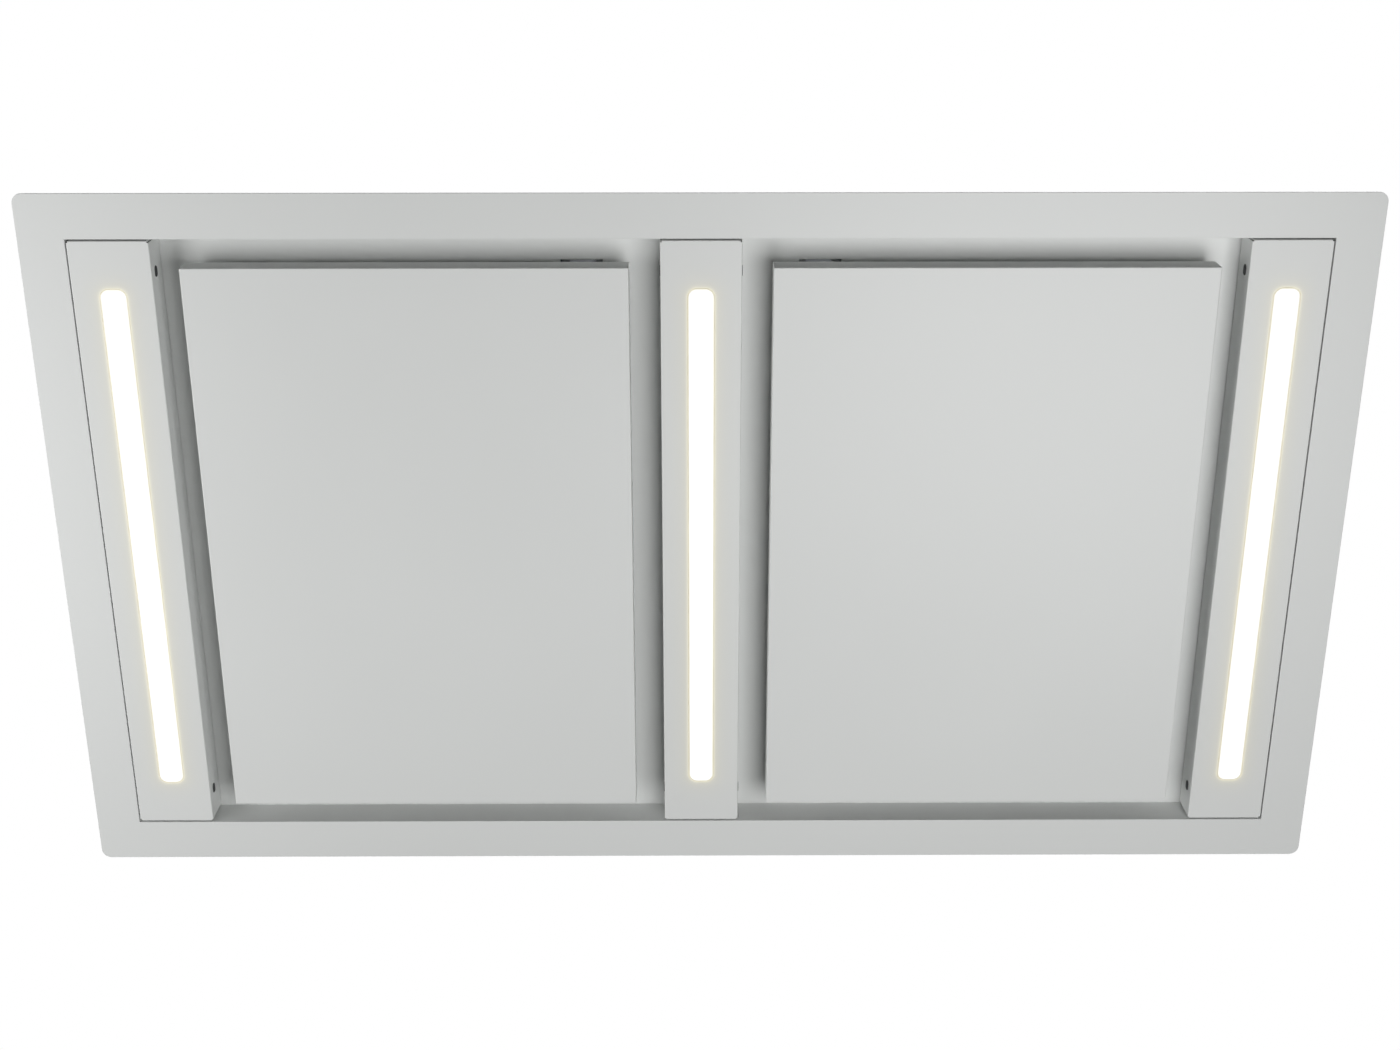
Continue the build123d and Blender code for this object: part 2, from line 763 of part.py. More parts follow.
# ---------------------------------------------------------------- housing
def long_wall(side):
    """Near or far wall, stepped in above the rim, with a lip under the top plate."""
    outer_y = side * wall_half_y
    upper_y = side * upper_half_y
    sheet = side * housing_sheet
    x_range = (-wall_half_x, wall_half_x)
    wall = block(x_range, (outer_y - sheet, outer_y), (deck_top, step_z))
    wall += block(x_range, (upper_y - sheet, outer_y), (step_z - housing_sheet, step_z))
    wall += block(x_range, (upper_y - sheet, upper_y), (step_z - housing_sheet, top_plate_z))
    lip_y = (upper_y, upper_y - side * housing_lip)
    wall += block(x_range, lip_y, (top_plate_z - housing_sheet, top_plate_z))
    return cut(wall, rim_holes() + lip_holes())


def short_wall(side):
    """Left or right wall with lips against the long walls and under the top plate."""
    outer_x = side * wall_half_x
    inner_x = outer_x - side * housing_sheet
    lip_x = (outer_x, outer_x - side * housing_lip)
    lower_z = (deck_top, step_z - housing_sheet)
    upper_z = (step_z - housing_sheet, top_plate_z - housing_sheet)
    stretches = [(wall_half_y - housing_sheet, lower_z), (upper_half_y - housing_sheet, upper_z)]
    wall = block(lip_x, (housing_lip - upper_half_y, upper_half_y - housing_lip), (upper_z[1], top_plate_z))
    for half_y, z_range in stretches:
        wall += block((inner_x, outer_x), (-half_y, half_y), z_range)
        for end in (-1, 1):
            wall += block(lip_x, (end * half_y, end * (half_y - housing_sheet)), z_range)
    return cut(wall, rim_holes() + lip_holes())


def top_plate():
    """Flat lid of the housing, with an opening over the blower's outlet."""
    z_range = (top_plate_z, housing_top)
    lid = slab(wall_half_x, upper_half_y, z_range)
    opening = slab(scroll_half_x, scroll_outlet_width / 2, z_range)
    screws = [along_z(screw_radius + thread_clearance, x, y, z_range) for x, y in top_screws()]
    lead_hole = along_z(lead_radius + lead_hole_clearance, lead_drop_x, supply_lead_y, z_range)
    return cut(lid, [opening, lead_hole] + screws + lip_holes())


def corner_places(spacing):
    """The four corners of a rectangle centred on the origin."""
    return [(x * spacing[0] / 2, y * spacing[1] / 2) for x in (-1, 1) for y in (-1, 1)]


def hanging_foot_screws():
    """Two screws hold each hanging bracket's foot."""
    places = []
    for x, y in corner_places(hanging_spacing):
        inward = -math.copysign(1, x)
        foot_x = x + inward * (hanging_tongue / 2 + hanging_foot / 2)
        places += [(foot_x, y - hanging_width / 4), (foot_x, y + hanging_width / 4)]
    return places


def driver_screws():
    x, y = driver_centre
    reach = driver_size[0] / 2 + driver_ear / 2
    return [(x - reach, y), (x + reach, y)]


def lid_screw_places():
    """A screw in the middle of each short skirt of the control box's lid."""
    x, y = control_box_centre
    reach = control_box_size[0] / 2 + control_sheet
    z = control_top - control_lid_skirt / 2
    return [((x + side * reach, y, z), (side, 0, 0)) for side in (-1, 1)]


def lid_screw_holes():
    radius = screw_radius + thread_clearance
    return [
        through_hole(radius, point, way, screw_reach)
        for point, way in lid_screw_places()
    ]


def control_box_screws():
    x, y = control_box_centre
    step = control_box_size[0] / 2 - 2 * control_lid_skirt
    edge = y + control_box_size[1] / 2 - 1.5 * control_lid_skirt
    return [(x - step, edge), (x + step, edge)]


def top_screws():
    """Screws that hold what stands on the top plate."""
    feet = hanging_foot_screws() + driver_screws() + control_box_screws()
    return corner_places(collar_screw_spacing) + feet


def upright_screw(x, y, seat_z, grip):
    """A screw driven down through the pieces under its head."""
    return stepped_pin((x, y, seat_z), (0, 0, 1), screw_head_radius, screw_head, screw_radius, grip)


def housing_screws():
    below = screw_reach + housing_sheet
    screws = [
        stepped_pin(point, way, screw_head_radius, screw_head, screw_radius, screw_reach)
        for point, way in lid_screw_places()
    ]
    screws += [upright_screw(x, y, housing_top, screw_reach) for x, y in rim_screws()]
    stands = [
        (corner_places(collar_screw_spacing), collar_base_sheet),
        (hanging_foot_screws(), hanging_sheet),
        (driver_screws(), hanging_sheet),
        (control_box_screws(), control_sheet),
    ]
    for places, foot in stands:
        screws += [upright_screw(x, y, housing_top + foot, below + foot) for x, y in places]
    return screws


def hanging_bracket(x, y):
    """Stepped strap: its foot is on the top plate and its tongue takes a hanging rod."""
    inward = -math.copysign(1, x)
    y_range = (y - hanging_width / 2, y + hanging_width / 2)
    root_x = x + inward * hanging_tongue / 2
    foot_x = (root_x, root_x + inward * hanging_foot)
    tongue_x = (root_x + inward * hanging_sheet, x - inward * hanging_tongue / 2)
    tongue_top = housing_top + hanging_rise
    strap = block(foot_x, y_range, (housing_top, housing_top + hanging_sheet))
    strap += block((root_x, root_x + inward * hanging_sheet), y_range, (housing_top, tongue_top))
    strap += block(tongue_x, y_range, (tongue_top - hanging_sheet, tongue_top))
    holes = [along_z(hanging_hole_radius, x, y, (tongue_top - 2 * hanging_sheet, tongue_top + hanging_sheet))]
    foot_z = (housing_top, housing_top + hanging_sheet)
    for screw_x, screw_y in hanging_foot_screws():
        holes.append(along_z(screw_radius + thread_clearance, screw_x, screw_y, foot_z))
    return cut(strap, holes)


# ---------------------------------------------------------------- blower
blower_plane = Plane(origin=(0, blower_y, blower_axis_height), x_dir=(0, 1, 0), z_dir=(1, 0, 0))


def volute(extra):
    """Outline of the scroll in three quarter arcs that grow towards the outlet, widened by extra."""
    start = impeller_radius + scroll_start_gap + extra
    top = top_plate_z - blower_axis_height
    left = outlet_left - extra
    right = outlet_right + extra
    first = (-volute_offset, -volute_offset)
    second = (volute_offset, -volute_offset)
    third = (volute_offset, volute_offset)
    radii = (start, start + scroll_growth, start + 2 * scroll_growth)
    tongue_y = first[1] + math.sqrt(radii[0] ** 2 - (left - first[0]) ** 2)
    tongue_angle = math.degrees(math.atan2(tongue_y - first[1], left - first[0]))
    outline = Line((right, volute_offset), (right, top)) + Line((right, top), (left, top))
    outline += Line((left, top), (left, tongue_y))
    outline += CenterArc(first, radii[0], tongue_angle, 180 - tongue_angle)
    outline += CenterArc(second, radii[1], 180, 90)
    outline += CenterArc(third, radii[2], 270, 90)
    return make_face(outline)


def on_blower(sketch, x_range):
    """A sketch across the blower's axis, given a thickness along X."""
    plane = blower_plane.offset(x_range[0])
    return extrude(plane * sketch, x_range[1] - x_range[0])


def ring(outer, inner, x_range):
    """A ring round the blower's axis."""
    return on_blower(Circle(outer) - Circle(inner), x_range)


def scroll_wrap():
    """Curved wall of the scroll, with lips under the top plate."""
    x_range = (-scroll_half_x, scroll_half_x)
    wrap = on_blower(volute(scroll_sheet), x_range) - on_blower(volute(0), x_range)
    inner = scroll_outlet_width / 2
    for side in (-1, 1):
        lip_y = (side * inner, side * (inner + scroll_lip))
        wrap += block(x_range, lip_y, (top_plate_z - scroll_sheet, top_plate_z))
    holes = [
        along_z(screw_radius + thread_clearance, x, y, (top_plate_z - 2 * scroll_sheet, top_plate_z))
        for x, y in corner_places(collar_screw_spacing)
    ]
    return cut(wrap, holes)


def inlet_ring():
    """Inlet nozzle on the right side plate: a flange on its outer face and a lip that turns in."""
    outer_x = scroll_half_x + 2 * scroll_sheet
    middle = (outer_x - inlet_lip_radius, inlet_radius + inlet_lip_radius)
    outer = inlet_lip_radius
    inner = inlet_lip_radius - scroll_sheet
    arcs = CenterArc(middle, outer, 270, 90) + CenterArc(middle, inner, 270, 90)
    arcs += Line((middle[0], middle[1] - outer), (middle[0], middle[1] - inner))
    arcs += Line((middle[0] + outer, middle[1]), (middle[0] + inner, middle[1]))
    lip = Pos(0, blower_y, blower_axis_height) * revolve(make_face(arcs), Axis.X)
    return lip + ring(middle[1] + inlet_flange_width, middle[1], (outer_x - scroll_sheet, outer_x))


def scroll_side():
    """Flat side plate of the scroll, on the right."""
    x_range = (scroll_half_x, scroll_half_x + scroll_sheet)
    plate = on_blower(volute(scroll_sheet + scroll_rim), x_range)
    return plate - on_blower(Circle(inlet_radius + inlet_lip_radius + inlet_clearance), x_range)


def mount_places():
    """Angles of the motor bracket's arms, in degrees, and the mounts' places round the axis."""
    places = []
    for index in range(mount_count):
        angle = 360 * (index + 0.5) / mount_count
        turn = math.radians(angle)
        places.append((mount_circle * math.cos(turn), mount_circle * math.sin(turn), angle))
    return places


def motor_screw_places():
    turns = [math.radians(360 * index / mount_count) for index in range(mount_count)]
    return [(motor_screw_circle * math.cos(turn), motor_screw_circle * math.sin(turn)) for turn in turns]


def scroll_side_right():
    x_range = (scroll_half_x, scroll_half_x + scroll_sheet)
    hole = Circle(screw_radius + thread_clearance)
    return cut(scroll_side(), [on_blower(Pos(y, z) * hole, x_range) for y, z, _ in mount_places()])


def blade(extra):
    """Section of one forward-curved blade, with an extra width on each face."""
    root = (impeller_radius - blade_depth + blade_thickness / 2, -extra)
    tip = (impeller_radius - blade_thickness / 2, blade_sweep - extra)
    middle = ((root[0] + tip[0]) / 2 + blade_sweep / 4, blade_sweep / 4 - extra)
    front = ThreePointArc(root, middle, tip)
    rear = Pos(0, blade_thickness + 2 * extra) * front
    return make_face(front + rear + Line(front @ 0, rear @ 0) + Line(front @ 1, rear @ 1))


def impeller_blades(extra, half_length):
    """All blades of the double-inlet impeller, from one end to the other."""
    section = blade(extra)
    return [
        on_blower(Rot(0, 0, 360 * index / blade_count) * section, (-half_length, half_length))
        for index in range(blade_count)
    ]


def impeller_rings():
    """The ring at each end of the blades."""
    half = impeller_length / 2
    inner = impeller_radius - blade_depth
    return [ring(impeller_radius, inner, (half - impeller_ring, half)),
            ring(impeller_radius, inner, (-half, impeller_ring - half))]


def impeller_disc():
    """Hub disc in the middle, with slots that the blades go through."""
    disc = ring(hub_disc_radius, shaft_radius + fit_clearance, (-hub_disc / 2, hub_disc / 2))
    return cut(disc, impeller_blades(blade_clearance, hub_disc))


def motor_rotor():
    """Outer rotor of the motor: a cup on the hub disc, with the shaft in its middle."""
    base = hub_disc / 2
    cup = ring(rotor_radius, shaft_radius / 2, (base, base + rotor_wall))
    cup += ring(rotor_radius, rotor_radius - rotor_wall, (base, base + rotor_length))
    return cup + on_blower(Circle(shaft_radius), (-hub_disc / 2, motor_bracket_x - stator_flange))


def bearing_places():
    """Start of each bearing along the shaft."""
    first = hub_disc / 2 + 2 * rotor_wall + rotor_air_gap
    last = motor_bracket_x - 2 * stator_flange - bearing_width
    return (first, last)


def motor_stator():
    """Slotted core on a hollow neck, with a flange on the motor bracket."""
    start = bearing_places()[0] - rotor_air_gap / 2
    core_end = hub_disc / 2 + rotor_length - rotor_wall
    core = ring(rotor_radius - rotor_wall - rotor_air_gap, stator_neck_radius / 2, (start, core_end))
    outer = rotor_radius - rotor_wall - rotor_air_gap
    for index in range(stator_slots):
        gap = Pos(outer - stator_slot_depth / 2, 0) * Rectangle(stator_slot_depth + 2, stator_slot_width)
        core -= on_blower(Rot(0, 0, 360 * index / stator_slots) * gap, (start, core_end))
    body = core + ring(stator_neck_radius, stator_neck_radius / 2, (start, motor_bracket_x))
    flange_x = (motor_bracket_x - stator_flange, motor_bracket_x)
    body += ring(stator_flange_radius, stator_neck_radius / 2, flange_x)
    body -= on_blower(Circle(bearing_radius + fit_clearance), (start, motor_bracket_x))
    hole = Circle(screw_radius + thread_clearance)
    return cut(body, [on_blower(Pos(y, z) * hole, flange_x) for y, z in motor_screw_places()])


def motor_bearings():
    bore = shaft_radius + fit_clearance
    return [ring(bearing_radius, bore, (x, x + bearing_width)) for x in bearing_places()]


def motor_bracket():
    """Flat cross that carries the motor on the scroll's right side."""
    x_range = (motor_bracket_x, motor_bracket_x + arm_sheet)
    reach = mount_circle + arm_width / 2
    plate = Circle(stator_flange_radius)
    for _, _, angle in mount_places():
        plate += Rot(0, 0, angle) * Pos(reach / 2, 0) * Rectangle(reach, arm_width)
    plate -= Circle(stator_neck_radius)
    for y, z in motor_screw_places():
        plate -= Pos(y, z) * Circle(screw_radius + thread_clearance)
    for y, z, _ in mount_places():
        plate -= Pos(y, z) * Circle(screw_radius + thread_clearance)
    return on_blower(plate, x_range)


def motor_mounts():
    """Rubber buffers between the bracket's arms and the scroll."""
    x_range = (scroll_half_x + scroll_sheet, motor_bracket_x)
    buffer = Circle(mount_radius) - Circle(screw_radius + thread_clearance)
    return [on_blower(Pos(y, z) * buffer, x_range) for y, z, _ in mount_places()]


def motor_screws():
    """Screws through the mounts, and screws that hold the stator."""
    outer = motor_bracket_x + arm_sheet
    screws = []
    runs = [(place[:2], mount_height + arm_sheet + 2 * scroll_sheet) for place in mount_places()]
    runs += [(place, arm_sheet + stator_flange) for place in motor_screw_places()]
    for (y, z), grip in runs:
        point = (outer, blower_y + y, blower_axis_height + z)
        screws.append(stepped_pin(point, (1, 0, 0), screw_head_radius, screw_head, screw_radius, grip))
    return screws


# ---------------------------------------------------------------- outlet
def duct_collar():
    """Base plate and round spigot with a seat for the flaps and bores for their spindle."""
    half = collar_base / 2
    base_top = housing_top + collar_base_sheet
    collar = slab(half, half, (housing_top, base_top))
    collar = fillet(collar.edges().filter_by(Axis.Z), collar_base / 20)
    collar += along_z(duct_outer_radius, 0, 0, (housing_top, base_top + duct_length))
    inner = duct_outer_radius - duct_wall
    collar -= along_z(inner, 0, 0, (housing_top, base_top + duct_length))
    seat = along_z(inner + duct_wall / 2, 0, 0, (seat_z - flap_seat_sheet, seat_z))
    collar += seat - along_z(inner - flap_seat_width, 0, 0, (seat_z - flap_seat_sheet, seat_z))
    holes = [
        along_z(screw_radius + thread_clearance, x, y, (housing_top, base_top))
        for x, y in corner_places(collar_screw_spacing)
    ]
    reach = duct_outer_radius + 1
    holes.append(along_x(spindle_radius + knuckle_clearance, (-reach, reach), 0, spindle_z))
    return cut(collar, holes)


def flap_spindle():
    return along_x(spindle_radius, (-duct_outer_radius, duct_outer_radius), 0, spindle_z)


def duct_flap(side):
    """Half-round flap with its knuckles on the spindle: two outer ones, or one in the middle."""
    radius = duct_outer_radius - duct_wall - flap_rim_clearance
    edge = knuckle_radius + 2 * flap_clearance
    z_range = (flap_z, flap_z + flap_thickness)
    flap = along_z(radius, 0, 0, z_range) & block((-radius, radius), (side * edge, side * radius), z_range)
    gap = flap_clearance * 2
    inner_run = (-knuckle_length, knuckle_length)
    outer_runs = [(sign * (knuckle_length + gap), sign * (2 * knuckle_length + gap)) for sign in (-1, 1)]
    for run in [inner_run] if side > 0 else outer_runs:
        flap += along_x(knuckle_radius, run, 0, spindle_z)
        flap += block(run, (0, side * edge), z_range)
    bore = along_x(spindle_radius + knuckle_clearance, (-radius, radius), 0, spindle_z)
    return flap - bore


# ---------------------------------------------------------------- electrics
def control_box():
    """Sheet-metal tray on the top plate, open at the top and at its right end."""
    x, y = control_box_centre
    half_x = control_box_size[0] / 2
    half_y = control_box_size[1] / 2
    box = slab(half_x, half_y, (housing_top, control_top))
    inner_y = (control_sheet - half_y, half_y - control_sheet)
    box -= block((control_sheet - half_x, half_x), inner_y, (housing_top + control_sheet, control_top))
    holes = [
        along_z(screw_radius + thread_clearance, sx, sy, (housing_top, housing_top + control_sheet))
        for sx, sy in control_box_screws()
    ]
    return cut(Pos(x, y, 0) * box, holes + lid_screw_holes())


def control_box_end():
    """Plate that closes the tray's right end and carries the cable gland."""
    y = control_box_centre[1]
    half_y = control_box_size[1] / 2 - control_sheet
    x_range = (gland_x - control_sheet, gland_x)
    plate = block(x_range, (y - half_y, y + half_y), (housing_top + control_sheet, control_top))
    bore = along_x(gland_thread_radius + thread_clearance, x_range, gland_y, gland_z)
    return cut(plate, [bore] + lid_screw_holes())


def control_lid():
    """Lid whose skirt goes over the box."""
    x, y = control_box_centre
    half_x = control_box_size[0] / 2
    half_y = control_box_size[1] / 2
    low = control_top - control_lid_skirt
    lid = slab(half_x + control_sheet, half_y + control_sheet, (low, control_top + control_sheet))
    return cut(Pos(x, y, 0) * (lid - slab(half_x, half_y, (low, control_top))), lid_screw_holes())


def board_level():
    return housing_top + control_sheet + control_standoff


def board_centre():
    return (control_box_centre[0] + control_board_shift[0], control_box_centre[1] + control_board_shift[1])


def control_board():
    """Circuit board on four pillars, with its transformer, relays and capacitors."""
    length, width, thickness = control_board_size
    z = board_level()
    board = slab(length / 2, width / 2, (z, z + thickness))
    for px, py in corner_places((length * 0.9, width * 0.85)):
        board += along_z(control_standoff / 2, px, py, (z - control_standoff, z))
    top = z + thickness
    board += block((-length * 0.45, -length * 0.2), (-width * 0.4, width * 0.1), (top, top + 24))
    for index in range(3):
        relay_x = length * (0.02 + 0.16 * index)
        board += block((relay_x, relay_x + length * 0.12), (-width * 0.42, -width * 0.1), (top, top + 15))
    for index in range(2):
        board += along_z(6, -length * (0.1 + 0.13 * index), width * 0.3, (top, top + 20))
    return Pos(*board_centre(), 0) * board


def terminal_block():
    """Row of screw terminals on the circuit board."""
    length, width, height = terminal_size
    top = board_level() + control_board_size[2]
    rows = slab(length / 2, width / 2, (top, top + height))
    wells = [
        along_z(width / 6, x, width / 6, (top + height / 2, top + height))
        for x in spread(terminal_ways, length)
    ]
    place_x, place_y = board_centre()
    shift = Pos(place_x + control_board_size[0] / 4, place_y + control_board_size[1] / 2 - width, 0)
    return shift * cut(rows, wells)


def cable_gland():
    """Screwed gland in the wall of the control box: lock nut, thread, flange and dome."""
    wall_in = gland_x - control_sheet
    dome_x = (gland_x + gland_flange, gland_x + gland_flange + gland_dome)
    gland = along_x(gland_thread_radius, (wall_in - gland_nut, gland_x), gland_y, gland_z)
    gland += gland_hexagon(gland_flange_radius, (wall_in - gland_nut, wall_in))
    gland += gland_hexagon(gland_flange_radius, (gland_x, gland_x + gland_flange))
    gland += along_x(gland_flange_radius * 0.85, dome_x, gland_y, gland_z)
    dome_edge = gland.edges().group_by(Axis.X)[-1]
    gland = fillet(dome_edge, gland_flange_radius * 0.3)
    reach = (wall_in - 2 * gland_nut, gland_x + gland_flange + 2 * gland_dome)
    return gland - along_x(gland_bore_radius, reach, gland_y, gland_z)


def gland_hexagon(radius, x_range):
    plane = Plane(origin=(x_range[0], gland_y, gland_z), x_dir=(0, 1, 0), z_dir=(1, 0, 0))
    return extrude(plane * RegularPolygon(radius, 6), x_range[1] - x_range[0])


def light_driver():
    """Moulded case of the light driver with a screw ear at each end."""
    x, y = driver_centre
    length, width, height = driver_size
    case = slab(length / 2, width / 2, (housing_top, housing_top + height))
    case = fillet(case.edges().filter_by(Axis.Z) + case.edges().group_by(Axis.Z)[-1], height / 12)
    case += slab(length / 2 + driver_ear, width / 4, (housing_top, housing_top + hanging_sheet))
    holes = [
        along_z(screw_radius + thread_clearance, sx, sy, (housing_top, housing_top + hanging_sheet))
        for sx, sy in driver_screws()
    ]
    return cut(Pos(x, y, 0) * case, holes)


def lead_spans():
    """Where each lead between two light bars goes down: its two ends along X and its place in Y."""
    names = list(bar_centres)
    return [
        (bar_centres[first] + lead_spread, bar_centres[second] - lead_spread, lead_y)
        for first, second in zip(names, names[1:])
    ]


def lead_ends():
    """Every place where a lead goes down through the deck to a light board."""
    ends = [(bar_centres["left"] - lead_spread, supply_lead_y)]
    for start_x, end_x, y in lead_spans():
        ends += [(start_x, y), (end_x, y)]
    return ends


def lead(points):
    """Round lead along straight runs with rounded corners."""
    path = FilletPolyline(*points, radius=lead_bend_radius)
    return sweep(Plane(origin=path @ 0, z_dir=path % 0) * Circle(lead_radius), path=path)


def light_leads():
    """One lead from the driver down to the left bar, and one from each bar to the next."""
    board_top = bar_inner_z + profile_height - profile_wall
    run_z = deck_top + lead_gap + lead_radius
    exit_z = housing_top + driver_size[2] / 2
    supply_x = bar_centres["left"] - lead_spread
    supply = [
        (driver_centre[0] + driver_size[0] / 2, supply_lead_y, exit_z),
        (lead_drop_x, supply_lead_y, exit_z),
        (lead_drop_x, supply_lead_y, run_z),
        (supply_x, supply_lead_y, run_z),
        (supply_x, supply_lead_y, board_top),
    ]
    leads = [lead(supply)]
    for start_x, end_x, y in lead_spans():
        down = [(start_x, y, board_top), (start_x, y, run_z)]
        leads.append(lead(down + [(end_x, y, run_z), (end_x, y, board_top)]))
    return leads


# ---------------------------------------------------------------- write every node
def build():
    save("flange_frame", flange_frame())
    save("ceiling_seal", ceiling_seal())
    save("deck_plate", deck_plate())
    bar_parts = {
        "light_bar": light_bar(),
        "diffuser": diffuser(),
    }
    for side, x in bar_centres.items():
        for name, shape in bar_parts.items():
            save(f"{side}_{name}", Pos(x, 0, 0) * shape)
        save(f"{side}_light_profile", Pos(x, 0, 0) * light_profile(x))
    save("light_boards", *[Pos(x, 0, 0) * light_board() for x in bar_centres.values()])
    brackets, screws = bar_fixings()
    save("bar_brackets", *brackets)
    save("bar_screws", *screws)

    pins = [hinge_pin(y) for y in hinge_ys]
    handed = {
        "panel_shell": [panel_shell()],
        "panel_back": [panel_back()],
        "hinge_pins": pins,
        "filter_frame": [filter_frame()],
        "filter_mesh": [filter_mesh()],
        "filter_latch": [filter_latch()],
    }
    for name, shapes in handed.items():
        save(f"right_{name}", *shapes)
        save(f"left_{name}", *[mirrored(shape) for shape in shapes])
    save("hinge_hangers", *hinge_hangers())
    save("catch_clips", *catch_clips())

    save("long_walls", long_wall(-1), long_wall(1))
    save("short_walls", short_wall(-1), short_wall(1))
    save("top_plate", top_plate())
    save("rivets", *rim_rivets(), *hanger_rivets())
    save("housing_screws", *housing_screws())
    save("hanging_brackets", *[hanging_bracket(x, y) for x, y in corner_places(hanging_spacing)])

    save("scroll_wrap", scroll_wrap())
    save("scroll_left_side", mirrored(scroll_side()))
    save("scroll_right_side", scroll_side_right())
    save("inlet_rings", mirrored(inlet_ring()), inlet_ring())
    save("impeller_disc", impeller_disc())
    save("impeller_rings", *impeller_rings())
    save("impeller_blades", *impeller_blades(0, impeller_length / 2 - impeller_ring))
    save("motor_rotor", motor_rotor())
    save("motor_stator", motor_stator())
    save("motor_bearings", *motor_bearings())
    save("motor_bracket", motor_bracket())
    save("motor_mounts", *motor_mounts())
    save("motor_screws", *motor_screws())

    save("duct_collar", duct_collar())
    save("flap_spindle", flap_spindle())
    save("near_flap", duct_flap(-1))
    save("far_flap", duct_flap(1))

    save("control_box", control_box())
    save("control_box_end", control_box_end())
    save("control_lid", control_lid())
    save("control_board", control_board())
    save("terminal_block", terminal_block())
    save("cable_gland", cable_gland())
    save("light_driver", light_driver())
    save("light_leads", *light_leads())


build()
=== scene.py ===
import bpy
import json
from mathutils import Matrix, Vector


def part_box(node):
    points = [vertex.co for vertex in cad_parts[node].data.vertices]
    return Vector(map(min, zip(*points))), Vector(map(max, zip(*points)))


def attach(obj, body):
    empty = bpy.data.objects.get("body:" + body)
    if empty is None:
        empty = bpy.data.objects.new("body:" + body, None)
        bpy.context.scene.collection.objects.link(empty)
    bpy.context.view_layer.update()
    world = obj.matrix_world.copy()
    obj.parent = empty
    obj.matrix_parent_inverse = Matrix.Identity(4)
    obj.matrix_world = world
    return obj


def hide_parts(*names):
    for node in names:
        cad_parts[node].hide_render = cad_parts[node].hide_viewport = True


bl_info = {
    "name": "Ceiling Range Hood Looks",
    "version": (1, 0, 0),
    "blender": (4, 5, 0),
    "location": "View3D > Sidebar > Hood",
    "description": "Dresses a ceiling range hood with its finishes, details, lamps and camera",
    "category": "Object",
}

import json
import math

import bmesh
import bpy
import numpy as np
from bpy.props import FloatProperty, FloatVectorProperty, IntProperty, PointerProperty
from mathutils import Matrix, Vector

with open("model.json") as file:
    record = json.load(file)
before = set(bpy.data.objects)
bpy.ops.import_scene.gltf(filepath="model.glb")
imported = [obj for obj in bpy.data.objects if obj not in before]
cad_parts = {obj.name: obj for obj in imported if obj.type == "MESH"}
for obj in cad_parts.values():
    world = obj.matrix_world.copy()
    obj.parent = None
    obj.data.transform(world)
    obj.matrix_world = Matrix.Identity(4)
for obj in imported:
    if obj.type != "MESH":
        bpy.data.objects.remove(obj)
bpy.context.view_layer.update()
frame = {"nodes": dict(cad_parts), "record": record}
NODES = frame["nodes"]
RECORD = frame["record"]
BODY_OF = {
    node: body for body, nodes in RECORD["behaviour"]["bodies"].items() for node in nodes
}

MM = 0.001

# Light strips' own edge glow, and the painted glow of their light on the coat round them.
STRIP_CORNER = 8.3 * MM
STRIP_EDGE_GLOW = (0.05, 0.04, 0.0, 1.0)
PAINTED_RIM_GLOW = (0.30, 0.27, 0.17)
PAINTED_HALO_GLOW = (0.055, 0.045, 0.004)
PAINTED_HALO_TINT = (1.0, 0.98, 0.94, 1.0)
LIT_FACE_DEPTH = 1.5 * MM

# Camera that was fitted to the straight edges of the photograph.
CAMERA_PLACE = (-0.008788, -0.649159, -1.583582)
CAMERA_RIGHT = (0.999987868, 0.000142424, -0.004923779)
CAMERA_UP = (0.00194572, -0.9297168, 0.36827014)
CAMERA_LENS = 46.88


# ---------------------------------------------------------------- sizes and colours of a user
def colour(name, description, value):
    return FloatVectorProperty(
        name=name, description=description, subtype="COLOR", size=3, min=0.0, max=1.0,
        default=value,
    )


def span(name, description, millimetres):
    return FloatProperty(
        name=name, description=description, default=millimetres * MM, unit="LENGTH"
    )


def lamp_power(name, description, watts):
    return FloatProperty(
        name=name, description=description, default=watts, min=0.0, unit="POWER"
    )


class HoodCoatSettings(bpy.types.PropertyGroup):
    """Powder coat of the trim frame, bars, deck and panels."""

    tone: colour("Coat colour", "Colour of the powder coat", (0.69, 0.703, 0.692))
    roughness: FloatProperty(
        name="Roughness", description="Roughness of the powder coat", subtype="FACTOR",
        default=0.42, min=0.0, max=1.0,
    )
    peel: span("Orange peel", "Width of the coat's fine ripples", 1.6)
    bend: span("Bend radius", "Radius that light sees on folded edges", 0.5)


class HoodMetalSettings(bpy.types.PropertyGroup):
    """Bare metals of the housing, blower and filters."""

    zinc: colour("Galvanised colour", "Colour of the galvanised sheet", (0.56, 0.58, 0.6))
    plated: colour("Plated colour", "Colour of zinc-plated steel", (0.58, 0.6, 0.63))
    aluminium: colour("Aluminium colour", "Colour of aluminium pieces", (0.72, 0.73, 0.74))
    steel: colour("Steel colour", "Colour of ground and spring steel", (0.5, 0.51, 0.53))
    spangle: span("Spangle size", "Size of the zinc crystals", 9.0)


class HoodLightSettings(bpy.types.PropertyGroup):
    """Light strips, and the painted glow of their light on the coat round them."""

    glow: colour("Light colour", "Colour of the lit strips", (1.0, 0.985, 0.93))
    strength: FloatProperty(
        name="Strength", description="Brightness of the lit strips",
        default=1.6, min=0.0, soft_max=20.0,
    )
    edge: span("Soft edge", "Width of the dimmer band inside a strip's edge", 4.5)
    # rim and halo set how far the painted glow reaches on the coat round a strip
    rim: span("Rim light", "Reach of the bright rim outside a strip", 1.1)
    halo: span("Halo width", "Reach of the light that bleeds round a strip", 7.5)


